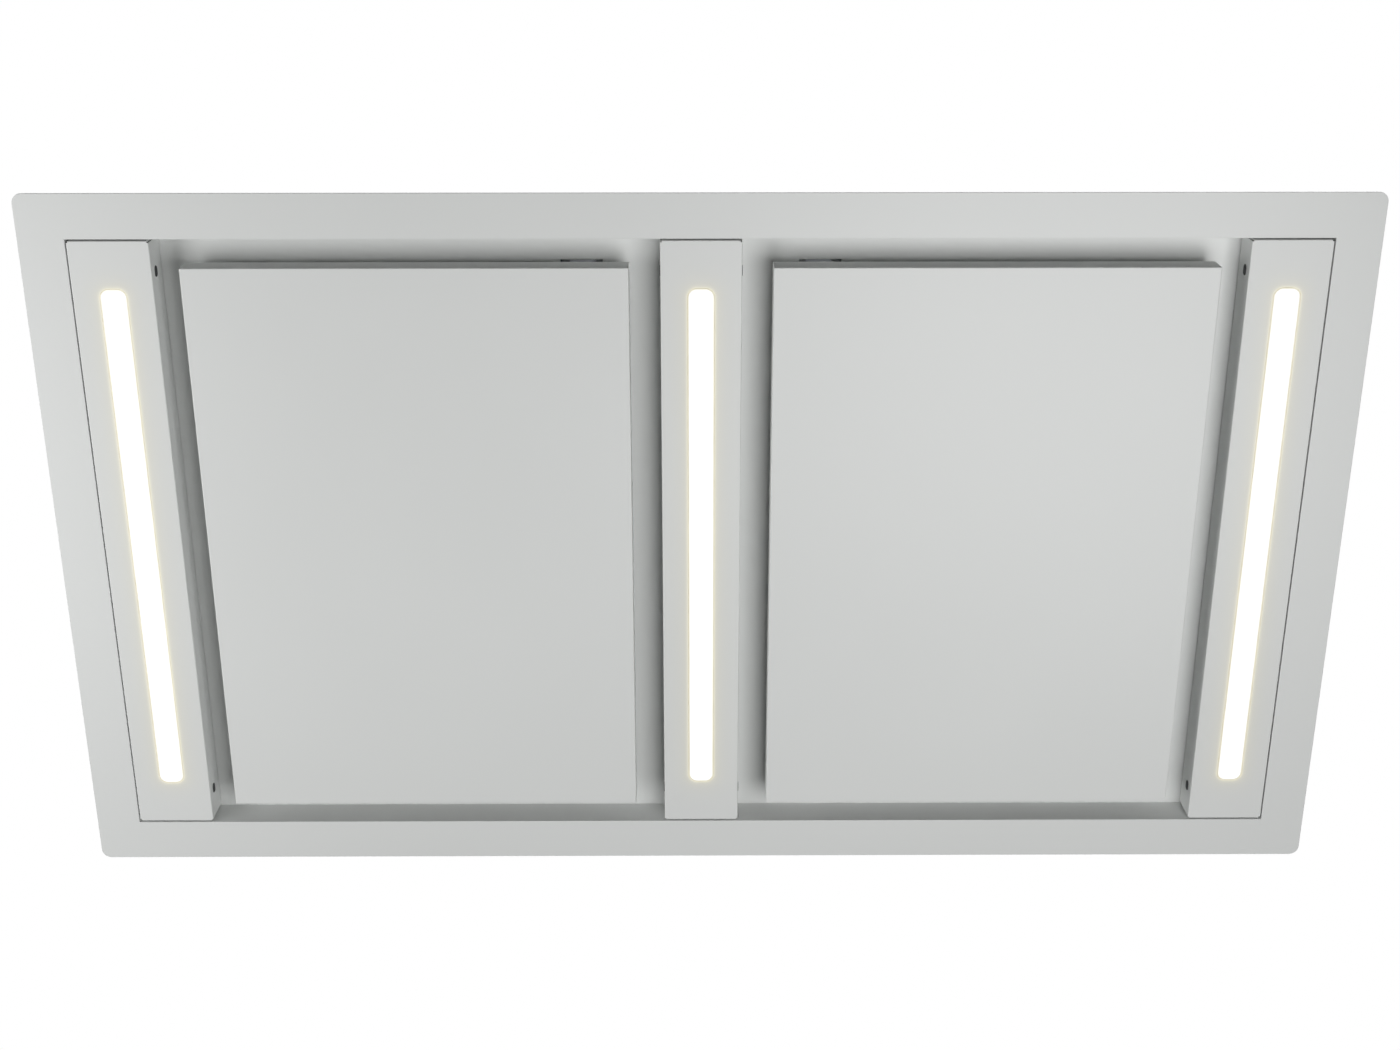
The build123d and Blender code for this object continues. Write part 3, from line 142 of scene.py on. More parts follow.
class HoodPlasticSettings(bpy.types.PropertyGroup):
    """Mouldings, rubber and circuit boards."""

    black: colour("Black moulding", "Colour of the collar and latches", (0.018, 0.018, 0.02))
    grey: colour("Grey moulding", "Colour of the driver case and terminals", (0.5, 0.51, 0.5))
    board: colour("Board colour", "Solder mask of the control board", (0.015, 0.11, 0.045))
    rubber: colour("Rubber colour", "Colour of the motor mounts and lip seal", (0.02, 0.02, 0.02))
    foam: colour("Foam colour", "Colour of the seal strip", (0.05, 0.05, 0.055))


class HoodFilterSettings(bpy.types.PropertyGroup):
    """Expanded foil inside the grease filters."""

    layers: IntProperty(
        name="Foil layers", description="Number of expanded foil layers",
        default=3, min=1, max=5,
    )
    diamond: span("Diamond length", "Length of one diamond of the foil", 12.0)
    strand: span("Strand width", "Width of one strand of the foil", 1.1)


class HoodStudioSettings(bpy.types.PropertyGroup):
    """Floor, lamps and camera."""

    ambient: FloatProperty(
        name="Ambient", description="Brightness of the room above the ceiling line",
        default=0.55, min=0.0, soft_max=5.0,
    )
    key: lamp_power("Key lamp", "Power of the key lamp", 15.0)
    fill: lamp_power("Fill lamp", "Power of the fill lamp", 11.5)
    top: lamp_power("Top lamp", "Power of the lamp above", 18.0)
    floor_level: span("Floor level", "Height of the floor below the ceiling", -2350.0)
    floor_tone: colour("Floor colour", "Colour of the floor", (0.86, 0.86, 0.86))


SETTINGS = {
    "hood_coat": HoodCoatSettings,
    "hood_metal": HoodMetalSettings,
    "hood_light": HoodLightSettings,
    "hood_plastic": HoodPlasticSettings,
    "hood_filter": HoodFilterSettings,
    "hood_studio": HoodStudioSettings,
}


# ---------------------------------------------------------------- shader groups
class ShaderTree:
    """Adds nodes to a shader tree and joins them. Values are sockets, numbers or colours."""

    def __init__(self, tree):
        self.nodes, self.links = tree.nodes, tree.links

    def feed(self, socket, value):
        """Joins an input to a socket, or sets it to a value."""
        if isinstance(value, bpy.types.NodeSocket):
            self.links.new(value, socket)
        else:
            socket.default_value = value

    def add(self, kind, values=(), **options):
        """A new node with its options and its inputs, given by number or name."""
        node = self.nodes.new(f"ShaderNode{kind}")
        for name, option in options.items():
            setattr(node, name, option)
        for label, value in dict(values).items():
            self.feed(node.inputs[label], value)
        return node

    def calc(self, operation, *values):
        return self.add("Math", enumerate(values), operation=operation).outputs[0]

    def vector(self, operation, *values):
        return self.add("VectorMath", enumerate(values), operation=operation).outputs[0]

    def place(self):
        """Coordinates in the hood's own frame."""
        return self.add("TexCoord").outputs["Object"]

    def split(self, vector):
        return self.add("SeparateXYZ", {0: vector}).outputs

    def channels(self, colour_socket):
        return self.add("SeparateColor", {"Color": colour_socket}).outputs

    def scale_for(self, size, count=1.0):
        """Texture scale at which features have a size, or a count of them fits in it."""
        return self.calc("DIVIDE", count, size)

    def noise(self, place, scale, detail=2.0, roughness=0.5):
        values = {"Vector": place, "Scale": scale, "Detail": detail, "Roughness": roughness}
        return self.add("TexNoise", values).outputs

    def cells(self, place, scale):
        return self.add("TexVoronoi", {"Vector": place, "Scale": scale}).outputs

    def blend(self, share, first, second, mode="MIX"):
        """A colour between two others."""
        values = {0: share, 6: first, 7: second}
        return self.add("Mix", values, data_type="RGBA", blend_type=mode).outputs[2]

    def spread(self, value, low, high, end=1.0, curve="LINEAR"):
        """Maps a value that runs from 0 to an end onto a range."""
        values = {"Value": value, "From Max": end, "To Min": low, "To Max": high}
        return self.add("MapRange", values, interpolation_type=curve).outputs["Result"]


def new_group(name, inputs, outputs):
    """An empty shader group: its tree, its inputs and its outputs."""
    group = bpy.data.node_groups.new(name, "ShaderNodeTree")
    kind = "NodeSocketFloat"
    for label, default in inputs.items():
        socket = group.interface.new_socket(label, in_out="INPUT", socket_type=kind)
        socket.default_value = default
    for label in outputs:
        group.interface.new_socket(label, in_out="OUTPUT", socket_type=kind)
    given = group.nodes.new("NodeGroupInput").outputs
    result = group.nodes.new("NodeGroupOutput").inputs
    return ShaderTree(group), given, result


def build_coat_skin():
    """Fine ripples of a powder coat and a slow drift of its tone."""
    inputs = {"Ripple": 1.6 * MM, "Drift": 0.25}
    tree, given, result = new_group("coat_skin", inputs, ("Height", "Tone"))
    place = tree.place()
    ripple = tree.noise(place, tree.scale_for(given["Ripple"]))
    drift = tree.noise(place, tree.scale_for(given["Drift"]), detail=3.0)
    tree.feed(result["Height"], ripple["Fac"])
    tree.feed(result["Tone"], drift["Fac"])


def build_zinc_spangle():
    """Crystals of galvanised sheet with light scratches."""
    inputs = {"Size": 9.0 * MM, "Scratch": 4.0 * MM}
    tree, given, result = new_group("zinc_spangle", inputs, ("Tone", "Height"))
    place = tree.place()
    waver, waver_scale = 6.0 * MM, 90.0
    bend = tree.noise(place, waver_scale)["Color"]
    bent = tree.vector("MULTIPLY_ADD", bend, (waver,) * 3, place)
    crystal = tree.channels(tree.cells(bent, tree.scale_for(given["Size"]))["Color"])["Red"]
    small = tree.channels(tree.cells(bent, tree.scale_for(given["Size"], 2.7))["Color"])["Green"]
    small_share, whole = 0.35, 0.74
    tone = tree.calc("MULTIPLY_ADD", small, small_share, crystal)
    tree.feed(result["Tone"], tree.calc("MULTIPLY", tone, whole))
    tree.feed(result["Height"], tree.noise(place, tree.scale_for(given["Scratch"]))["Fac"])


def build_drawn_grain():
    """Lines of rolled or drawn metal along one axis, as tone and height."""
    inputs = {"Line X": 0.2, "Line Y": 2.0 * MM, "Line Z": 2.0 * MM}
    tree, given, result = new_group("drawn_grain", inputs, ("Tone", "Height"))
    place = tree.place()
    length = tree.add("CombineXYZ", {axis: given[f"Line {axis}"] for axis in "XYZ"}).outputs[0]
    stretched = tree.vector("DIVIDE", place, length)
    lines = tree.noise(stretched, 1.0, detail=4.0, roughness=0.65)["Fac"]
    cloud_scale, cloud_share, whole = 14.0, 0.4, 0.7
    cloud = tree.noise(place, cloud_scale)["Fac"]
    mixed = tree.calc("MULTIPLY_ADD", cloud, cloud_share, lines)
    tree.feed(result["Tone"], tree.calc("MULTIPLY", mixed, whole))
    tree.feed(result["Height"], lines)


def build_mould_grain():
    """Sparked grain of a moulding, with a slow change of tone."""
    tree, given, result = new_group("mould_grain", {"Grain": 0.7 * MM}, ("Tone", "Height"))
    place = tree.place()
    cloud_scale = 25.0
    pits = tree.cells(place, tree.scale_for(given["Grain"]))
    tree.feed(result["Tone"], tree.noise(place, cloud_scale, detail=4.0)["Fac"])
    tree.feed(result["Height"], pits["Distance"])


def build_strip_edge():
    """Distance to the outline of the nearest light strip, negative inside it."""
    inputs = {"Half Width": 12 * MM, "Half Length": 0.25, "Corner": 8 * MM, "Bar Offset": 0.5}
    tree, given, result = new_group("strip_edge", inputs, ("Distance",))
    calc = tree.calc
    place = tree.split(tree.place())
    corner = given["Corner"]
    sideways = calc("ABSOLUTE", place["X"])
    from_outer = calc("ABSOLUTE", calc("SUBTRACT", sideways, given["Bar Offset"]))
    nearest = calc("MINIMUM", sideways, from_outer)
    across = calc("SUBTRACT", nearest, calc("SUBTRACT", given["Half Width"], corner))
    reach = calc("SUBTRACT", given["Half Length"], corner)
    along = calc("SUBTRACT", calc("ABSOLUTE", place["Y"]), reach)
    out_x, out_y = calc("MAXIMUM", across, 0.0), calc("MAXIMUM", along, 0.0)
    squares = calc("ADD", calc("MULTIPLY", out_x, out_x), calc("MULTIPLY", out_y, out_y))
    inside = calc("MINIMUM", calc("MAXIMUM", across, along), 0.0)
    outline = calc("ADD", calc("SQRT", squares), inside)
    tree.feed(result["Distance"], calc("SUBTRACT", outline, corner))


GROUP_MAKERS = {
    "strip_edge": build_strip_edge,
    "coat_skin": build_coat_skin,
    "zinc_spangle": build_zinc_spangle,
    "drawn_grain": build_drawn_grain,
    "mould_grain": build_mould_grain,
}


def placed_group(tree, name, values):
    """The outputs of a shader group that is placed in a material with its own values."""
    if name not in bpy.data.node_groups:
        GROUP_MAKERS[name]()
    return tree.add("Group", values, node_tree=bpy.data.node_groups[name]).outputs


# ---------------------------------------------------------------- materials
def shade(tone, factor):
    return tuple(max(0.0, min(1.0, channel * factor)) for channel in tone) + (1.0,)


def varied_material(name, group, values, tones, roughness, metallic, bump, rounding):
    """Colour and roughness follow a shader group's tone, and the bump follows its height."""
    if name in bpy.data.materials:
        return bpy.data.materials[name]
    material = bpy.data.materials.new(name)
    material.use_nodes = True
    tree = ShaderTree(material.node_tree)
    surface = tree.nodes["Principled BSDF"].inputs
    skin = placed_group(tree, group, values)
    surface["Metallic"].default_value = metallic
    tree.feed(surface["Base Color"], tree.blend(skin["Tone"], *tones))
    tree.feed(surface["Roughness"], tree.spread(skin["Tone"], *roughness))
    edge = tree.add("Bevel", {"Radius": rounding}, samples=4).outputs["Normal"]
    strength, depth = bump
    relief = {"Strength": strength, "Distance": depth, "Height": skin["Height"], "Normal": edge}
    tree.feed(surface["Normal"], tree.add("Bump", relief).outputs["Normal"])
    return material


def coat_material(name="powder_coat_white"):
    coat = bpy.context.scene.hood_coat
    return varied_material(
        name, "coat_skin", {"Ripple": coat.peel, "Drift": 0.25},
        (shade(coat.tone, 0.975), shade(coat.tone, 1.02)),
        (coat.roughness - 0.05, coat.roughness + 0.05),
        metallic=0.0, bump=(0.12, 0.03 * MM), rounding=coat.bend,
    )


def zinc_material():
    metal = bpy.context.scene.hood_metal
    return varied_material(
        "galvanised_sheet", "zinc_spangle", {"Size": metal.spangle, "Scratch": 2.5 * MM},
        (shade(metal.zinc, 0.8), shade(metal.zinc, 1.12)), (0.34, 0.54),
        metallic=0.5, bump=(0.15, 0.02 * MM), rounding=0.4 * MM,
    )


def drawn_material(name, tone, lines, roughness):
    """Bare metal. Lines holds the length of its grain in millimetres along X, Y and Z."""
    values = {f"Line {axis}": length * MM for axis, length in zip("XYZ", lines)}
    return varied_material(
        name, "drawn_grain", values, (shade(tone, 0.82), shade(tone, 1.12)), roughness,
        metallic=1.0, bump=(0.2, 0.02 * MM), rounding=0.25 * MM,
    )


def moulded_material(name, tone, roughness, grain=0.7, depth=0.05):
    """Plastic, rubber or foam with a grain of a size and depth in millimetres."""
    return varied_material(
        name, "mould_grain", {"Grain": grain * MM}, (shade(tone, 0.85), shade(tone, 1.2)),
        roughness, metallic=0.0, bump=(0.25, depth * MM), rounding=0.3 * MM,
    )


def plated_material():
    tone = bpy.context.scene.hood_metal.plated
    return drawn_material("zinc_plated_steel", tone, (30, 1.6, 1.6), (0.28, 0.42))


def steel_material():
    tone = bpy.context.scene.hood_metal.steel
    return drawn_material("ground_steel", tone, (0.8, 20, 0.8), (0.18, 0.3))


def dress(material, *nodes):
    """Gives CAD nodes their material."""
    for node in nodes:
        slots = NODES[node].data.materials
        slots.clear()
        slots.append(material)


# ---------------------------------------------------------------- mesh helpers
def mm(*pairs):
    """Pairs of millimetres as metres."""
    return [(first * MM, second * MM) for first, second in pairs]


def finish_piece(name, build, material, node, smooth=True, replaces=True):
    """Turns a bmesh into a named piece that rides with a CAD node's body."""
    bmesh.ops.remove_doubles(build, verts=build.verts, dist=0.001 * MM)
    bmesh.ops.recalc_face_normals(build, faces=build.faces)
    mesh = bpy.data.meshes.new(name)
    build.to_mesh(mesh)
    build.free()
    mesh.materials.append(material)
    if smooth:
        mesh.shade_smooth()
        mesh.set_sharp_from_angle(angle=math.radians(35))
    piece = bpy.data.objects.new(name, mesh)
    bpy.context.scene.collection.objects.link(piece)
    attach(piece, BODY_OF[node])
    if replaces:
        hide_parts(node)


def add_lathe(build, profile, matrix, sides=24, stretch=0.0):
    """A turned solid: profile holds (distance along X, radius). Stretch widens it along Y."""
    rings = []
    for along, radius in profile:
        if radius <= 0:
            rings.append([build.verts.new(matrix @ Vector((along, 0, 0)))])
            continue
        ring = []
        for index in range(sides):
            turn = 2 * math.pi * index / sides
            sideways = radius * math.cos(turn)
            sideways += math.copysign(stretch, sideways)
            point = Vector((along, sideways, radius * math.sin(turn)))
            ring.append(build.verts.new(matrix @ point))
        rings.append(ring)
    for first, second in zip(rings, rings[1:]):
        for index in range(sides):
            after = (index + 1) % sides
            if len(first) == 1:
                corners = (first[0], second[after], second[index])
            elif len(second) == 1:
                corners = (first[index], first[after], second[0])
            else:
                corners = (first[index], first[after], second[after], second[index])
            build.faces.new(corners)


def add_prism(build, outline, low, high, matrix):
    """A prism of an outline in the YZ plane between two places along X."""
    bottom = [build.verts.new(matrix @ Vector((low, y, z))) for y, z in outline]
    top = [build.verts.new(matrix @ Vector((high, y, z))) for y, z in outline]
    build.faces.new(bottom[::-1])
    build.faces.new(top)
    for index in range(len(outline)):
        after = (index + 1) % len(outline)
        build.faces.new((bottom[index], bottom[after], top[after], top[index]))


def add_bead(build, centre, length, width, height):
    """A pressed bead along X: a low ridge with round ends on a level sheet, closed below."""
    across, round_steps, straight_steps, fullness = 10, 5, 4, 1.5
    radius = width / 2
    reach = length / 2 - radius
    turns = [math.radians(90 - 90 * step / round_steps) for step in range(round_steps)]
    end = [-reach - radius * math.sin(turn) for turn in turns]
    middle = [reach * step / straight_steps for step in range(-straight_steps, straight_steps + 1)]
    rows = []
    for along in end + middle + [-value for value in reversed(end)]:
        over = max(abs(along) - reach, 0.0) / radius
        share = math.sqrt(max(1.0 - over * over, 0.0))
        row = []
        for index in range(across + 1):
            turn = math.pi * index / across
            side = math.cos(turn) * radius * share
            rise = math.sin(turn) ** fullness * height * share
            row.append(build.verts.new(Vector(centre) + Vector((along, side, rise))))
        rows.append(row)
    for first, second in zip(rows, rows[1:]):
        for index in range(across):
            build.faces.new((first[index], first[index + 1], second[index + 1], second[index]))
        build.faces.new((first[0], second[0], second[across], first[across]))


def hexagon(radius):
    turns = [math.pi * corner / 3 for corner in range(6)]
    return [(radius * math.cos(turn), radius * math.sin(turn)) for turn in turns]


def toward(point, way):
    """Matrix whose +X leaves a point along a direction."""
    return Matrix.Translation(point) @ Vector(way).to_track_quat("X", "Z").to_matrix().to_4x4()


def islands(node):
    """The separate solids of a CAD node, each as its points."""
    mesh = NODES[node].data
    points = np.array([v.co for v in mesh.vertices], float)
    grid = np.round(points / (0.005 * MM)).astype(int)
    keys, merged = np.unique(grid, axis=0, return_inverse=True)
    merged = merged.ravel()
    parent = list(range(len(keys)))

    def root(index):
        while parent[index] != index:
            parent[index] = parent[parent[index]]
            index = parent[index]
        return index

    for edge in mesh.edges:
        first, second = (root(merged[vertex]) for vertex in edge.vertices)
        if first != second:
            parent[first] = second
    roots = np.array([root(index) for index in merged])
    return [points[roots == value] for value in sorted(set(roots))]


def fastener_frame(points):
    """Matrix whose +X runs from a fastener's shank end out through its head, and its length."""
    low, high = points.min(0), points.max(0)
    size = high - low
    axis = min(range(3), key=lambda k: abs(size[(k + 1) % 3] - size[(k + 2) % 3]))
    centre = (low + high) / 2
    others = [k for k in range(3) if k != axis]
    radial = np.linalg.norm(points[:, others] - centre[others], axis=1)
    near = 0.02 * MM
    at_high = radial[points[:, axis] > high[axis] - near].max()
    at_low = radial[points[:, axis] < low[axis] + near].max()
    alike = abs(at_high - at_low) < near
    outward = at_high > at_low + 0.01 * MM or (alike and centre[axis] > 0)
    way = Vector((0, 0, 0))
    way[axis] = 1.0 if outward else -1.0
    start = Vector(centre)
    start[axis] = low[axis] if outward else high[axis]
    return toward(start, way), float(size[axis])


def thread_profile(start, end, radius, pitch):
    """Profile of a threaded shank with a blunt point."""
    profile = [(start, 0.0), (start + pitch, radius * 0.75)]
    along = start + pitch
    while along + pitch < end:
        profile += [(along + pitch * 0.35, radius * 0.82), (along + pitch * 0.75, radius)]
        along += pitch
    profile.append((end, radius * 0.9))
    return profile


# ---------------------------------------------------------------- coated pieces
class HOOD_OT_coated_sheet(bpy.types.Operator):
    """Powder coat on the trim frame, deck and suction panels"""

    bl_idname = "hood.coated_sheet"
    bl_label = "Coated sheet"

    def execute(self, context):
        dress(
            coat_material(),
            "flange_frame", "deck_plate", "left_panel_shell", "right_panel_shell",
        )
        return {"FINISHED"}


def bar_sides(side):
    """Lowest and highest X of a light bar."""
    low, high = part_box(f"{side}_light_bar")
    return low.x, high.x


def strip_distance(tree):
    """Socket with the distance to the nearest strip, sized from the right diffuser's face."""
    low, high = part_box("right_diffuser")
    face = [v.co for v in NODES["right_diffuser"].data.vertices if v.co.z < low.z + 0.1 * MM]
    centre_x = (low.x + high.x) / 2
    values = {
        "Half Width": max(point.x for point in face) - centre_x,
        "Half Length": max(point.y for point in face),
        "Corner": STRIP_CORNER,
        "Bar Offset": centre_x,
    }
    return placed_group(tree, "strip_edge", values)["Distance"]


def bar_coat_material():
    """Powder coat of a light bar, with painted warm light round its strip: emission and a warm
    tint on the coat stand in for the light that bleeds from it.
    """
    name = "powder_coat_painted_glow"
    if name in bpy.data.materials:
        return bpy.data.materials[name]
    material = coat_material(name)
    light = bpy.context.scene.hood_light
    tree = ShaderTree(material.node_tree)
    surface = tree.nodes["Principled BSDF"].inputs
    gap = tree.calc("MAXIMUM", strip_distance(tree), 0.0)
    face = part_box("right_diffuser")[0].z + LIT_FACE_DEPTH
    on_face = tree.calc("LESS_THAN", tree.split(tree.place())["Z"], face)

    def painted_fade(reach):
        """Painted light on the bar's face that fades with the distance from the strip."""
        faded = tree.calc("EXPONENT", tree.calc("DIVIDE", gap, -reach))
        return tree.calc("MULTIPLY", faded, on_face)

    rim, halo = painted_fade(light.rim), painted_fade(light.halo)
    wide = tree.vector("MULTIPLY", halo, PAINTED_HALO_GLOW)
    tree.feed(surface["Emission Color"], tree.vector("MULTIPLY_ADD", rim, PAINTED_RIM_GLOW, wide))
    surface["Emission Strength"].default_value = 1.0
    # Painted halo: the coat's own colour is tinted warm near the strip
    plain = surface["Base Color"].links[0].from_socket
    tree.feed(surface["Base Color"], tree.blend(halo, plain, PAINTED_HALO_TINT, "MULTIPLY"))
    return material


def opal_material():
    """Lit opal strip, warmer and dimmer in a narrow band along its edge."""
    light = bpy.context.scene.hood_light
    material = moulded_material("opal_lit", (0.8, 0.79, 0.75), (0.45, 0.6), 0.5, 0.01)
    tree = ShaderTree(material.node_tree)
    surface = tree.nodes["Principled BSDF"].inputs
    depth = tree.spread(strip_distance(tree), 0.0, 1.0, end=-light.edge, curve="SMOOTHSTEP")
    lit = tree.blend(depth, STRIP_EDGE_GLOW, (*light.glow, 1.0))
    tree.feed(surface["Emission Color"], lit)
    surface["Emission Strength"].default_value = light.strength
    return material


class HOOD_OT_light_bars(bpy.types.Operator):
    """Light bars with their diffusers, profiles, boards, brackets, screws and caps"""

    bl_idname = "hood.light_bars"
    bl_label = "Light bars"
    sides = ("left", "centre", "right")

    def execute(self, context):
        aluminium = context.scene.hood_metal.aluminium
        black = context.scene.hood_plastic.black
        extruded = drawn_material("extruded_aluminium", aluminium, (1.5, 250, 1.5), (0.3, 0.42))
        # Black steel on the bar brackets and screws: partly their own black finish, partly painted
        # shade that keeps the slots and gaps round the bars dark
        black_steel_and_shade = drawn_material("black_steel_painted_shade", (0.02, 0.02, 0.022), (1, 1, 1), (0.4, 0.55))
        dress(bar_coat_material(), *[f"{side}_light_bar" for side in self.sides])
        dress(opal_material(), *[f"{side}_diffuser" for side in self.sides])
        dress(extruded, *[f"{side}_light_profile" for side in self.sides])
        board = moulded_material("board_white", (0.8, 0.8, 0.77), (0.4, 0.5), 0.4, 0.01)
        dress(board, "light_boards")
        dress(black_steel_and_shade, "bar_brackets", "bar_screws")
        # Black caps over the bars' side slots: partly real caps, partly painted shade that keeps
        # the slots dark
        self.add_screw_caps(moulded_material("cap_black_painted_shade", black, (0.5, 0.65)))
        return {"FINISHED"}

    def add_screw_caps(self, material):
        """Black caps clipped over the side slots through which a key reaches the bars' screws;
        their black is partly painted shade.
        """
        stretch, lug_place = 1.6 * MM, 3.4 * MM
        profile = mm((0, 0), (0, 3.5), (0.3, 3.5), (0.5, 3.325), (0.7, 2.87), (0.7, 2.45))
        profile += mm((0.5, 2.1), (0.45, 0))
        lug = mm((-1.2, 0), (-1, 0.9), (1, 0.9), (1.2, 0))
        build = bmesh.new()
        for points in islands("bar_screws"):
            centre = Vector((points.min(0) + points.max(0)) / 2)
            bars = [bar_sides(side) for side in self.sides]
            low_x, high_x = min(bars, key=lambda bar: abs(sum(bar) / 2 - centre.x))
            outward = 1 if centre.x > (low_x + high_x) / 2 else -1
            centre.x = high_x if outward > 0 else low_x
            matrix = toward(centre, (outward, 0, 0))
            add_lathe(build, profile, matrix, sides=36, stretch=stretch)
            for end in (-1, 1):
                place = matrix @ Matrix.Translation((0, end * lug_place, 0))
                add_prism(build, lug, -1.8 * MM, 0.1 * MM, place)
        finish_piece("screw_caps", build, material, "bar_screws", replaces=False)


class HOOD_OT_panel_works(bpy.types.Operator):
    """Backs, hinge pins, hangers and catch clips of the suction panels"""

    bl_idname = "hood.panel_works"
    bl_label = "Panel works"

    def execute(self, context):
        dress(coat_material(), "left_panel_back", "right_panel_back")
        dress(steel_material(), "left_hinge_pins", "right_hinge_pins", "catch_clips")
        dress(plated_material(), "hinge_hangers")
        return {"FINISHED"}


# ---------------------------------------------------------------- filters
def add_foil(build, x_range, y_range, level, diamond, strand, thickness, phase):
    """One layer of expanded foil: zigzag strands that meet at the points of their diamonds."""
    columns = int((x_range[1] - x_range[0]) / (diamond / 2))
    rows = int((y_range[1] - y_range[0]) / (diamond * 0.42))
    step = (x_range[1] - x_range[0]) / columns
    pitch = (y_range[1] - y_range[0]) / rows
    half = strand / 2
    section = [(-half, -thickness / 2), (half, thickness / 4)]
    section += [(half, thickness / 2), (-half, -thickness / 4)]
    for row in range(rows):
        middle = y_range[0] + (row + 0.5) * pitch
        previous = None
        for column in range(columns + 1):
            x = x_range[0] + column * step
            up = 1 if (column + row + phase) % 2 else -1
            y = middle + up * (pitch / 2 - half)
            z = level + up * thickness * 0.9
            corners = [build.verts.new((x, y + side, z + rise)) for side, rise in section]
            if previous:
                for index in range(4):
                    after = (index + 1) % 4
                    build.faces.new(
                        (previous[index], previous[after], corners[after], corners[index])
                    )
            else:
                build.faces.new(corners[::-1])
            previous = corners
        build.faces.new(previous)


class HOOD_OT_grease_filters(bpy.types.Operator):
    """Grease filters: slotted frames, expanded foil and latches"""

    bl_idname = "hood.grease_filters"
    bl_label = "Grease filters"

    def execute(self, context):
        tone = context.scene.hood_metal.aluminium
        rolled = drawn_material("rolled_aluminium", tone, (1.4, 120, 1.4), (0.26, 0.4))
        foil = drawn_material("aluminium_foil", tone, (4, 4, 4), (0.2, 0.5))
        latch = moulded_material("latch_black", context.scene.hood_plastic.black, (0.4, 0.55))
        for side in ("left", "right"):
            dress(rolled, f"{side}_filter_frame")
            dress(latch, f"{side}_filter_latch")
            self.fill_with_foil(side, context.scene.hood_filter, foil)
            self.add_latch_ridges(side, latch)
        return {"FINISHED"}

    @staticmethod
    def fill_with_foil(side, settings, foil):
        """Layers of expanded foil in place of a filter's pad."""
        low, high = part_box(f"{side}_filter_mesh")
        build = bmesh.new()
        pitch = (high.z - low.z) / settings.layers
        for layer in range(settings.layers):
            level = low.z + (layer + 0.5) * pitch
            add_foil(
                build, (low.x, high.x), (low.y, high.y), level,
                settings.diamond, settings.strand, pitch * 0.35, layer,
            )
        finish_piece(f"{side}_filter_foil", build, foil, f"{side}_filter_mesh", smooth=False)

    @staticmethod
    def add_latch_ridges(side, material):
        """Grip ridges across a latch's underside."""
        node = f"{side}_filter_latch"
        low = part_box(node)[0]
        face = [v.co for v in NODES[node].data.vertices if v.co.z < low.z + 0.1 * MM]
        margin, count = 1.5 * MM, 3
        left, right = min(p.x for p in face) + margin, max(p.x for p in face) - margin
        near, far = min(p.y for p in face), max(p.y for p in face)
        build = bmesh.new()
        ridge = mm((-0.45, 0.05), (-0.2, -0.35), (0.2, -0.35), (0.45, 0.05))
        for index in range(count):
            y = near + (far - near) * (index + 0.5) / count
            add_prism(build, ridge, left, right, Matrix.Translation((0, y, low.z)))
        finish_piece(f"{side}_latch_ridges", build, material, node, replaces=False)


# ---------------------------------------------------------------- housing and fasteners
class HOOD_OT_housing(bpy.types.Operator):
    """Galvanised housing, its hanging brackets and the seal strip"""

    bl_idname = "hood.housing"
    bl_label = "Housing"

    def execute(self, context):
        zinc = zinc_material()
        foam = context.scene.hood_plastic.foam
        dress(zinc, "long_walls", "short_walls", "top_plate")
        dress(plated_material(), "hanging_brackets")
        dress(moulded_material("closed_cell_foam", foam, (0.8, 0.95), 1.2, 0.25), "ceiling_seal")
        self.add_beads(zinc)
        self.add_spot_welds(zinc)
        return {"FINISHED"}

    @staticmethod
    def add_beads(zinc):
        """Stiffening beads pressed up in the free areas of the top plate."""
        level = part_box("top_plate")[1].z
        from_middle, length, width, height = 285 * MM, 270 * MM, 16 * MM, 2.6 * MM
        build = bmesh.new()
        for side in (-1, 1):
            for row in (-20, 60, 140, 220):
                centre = (side * from_middle, row * MM, level)
                add_bead(build, centre, length, width, height)
        finish_piece("top_plate_beads", build, zinc, "top_plate", replaces=False)

    @staticmethod
    def add_spot_welds(zinc):
        """A column of spot welds at each end of the long walls, over the short walls' lips."""
        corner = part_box("long_walls")[1]
        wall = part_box("top_plate")[1].y
        from_end, from_top, pitch, sunk = 6 * MM, 22 * MM, 38 * MM, 0.03 * MM
        weld = mm((0, 0), (0, 3.4), (0.14, 3.1), (0.16, 2.7), (0.07, 2.2), (0.08, 0.8), (0.1, 0))
        build = bmesh.new()
        for side in (-1, 1):
            for x in (-corner.x + from_end, corner.x - from_end):
                for index in range(5):
                    place = (x, side * (wall - sunk), corner.z - from_top - pitch * index)
                    add_lathe(build, weld, toward(place, (0, side, 0)), sides=18)
        finish_piece("spot_welds", build, zinc, "long_walls", replaces=False)


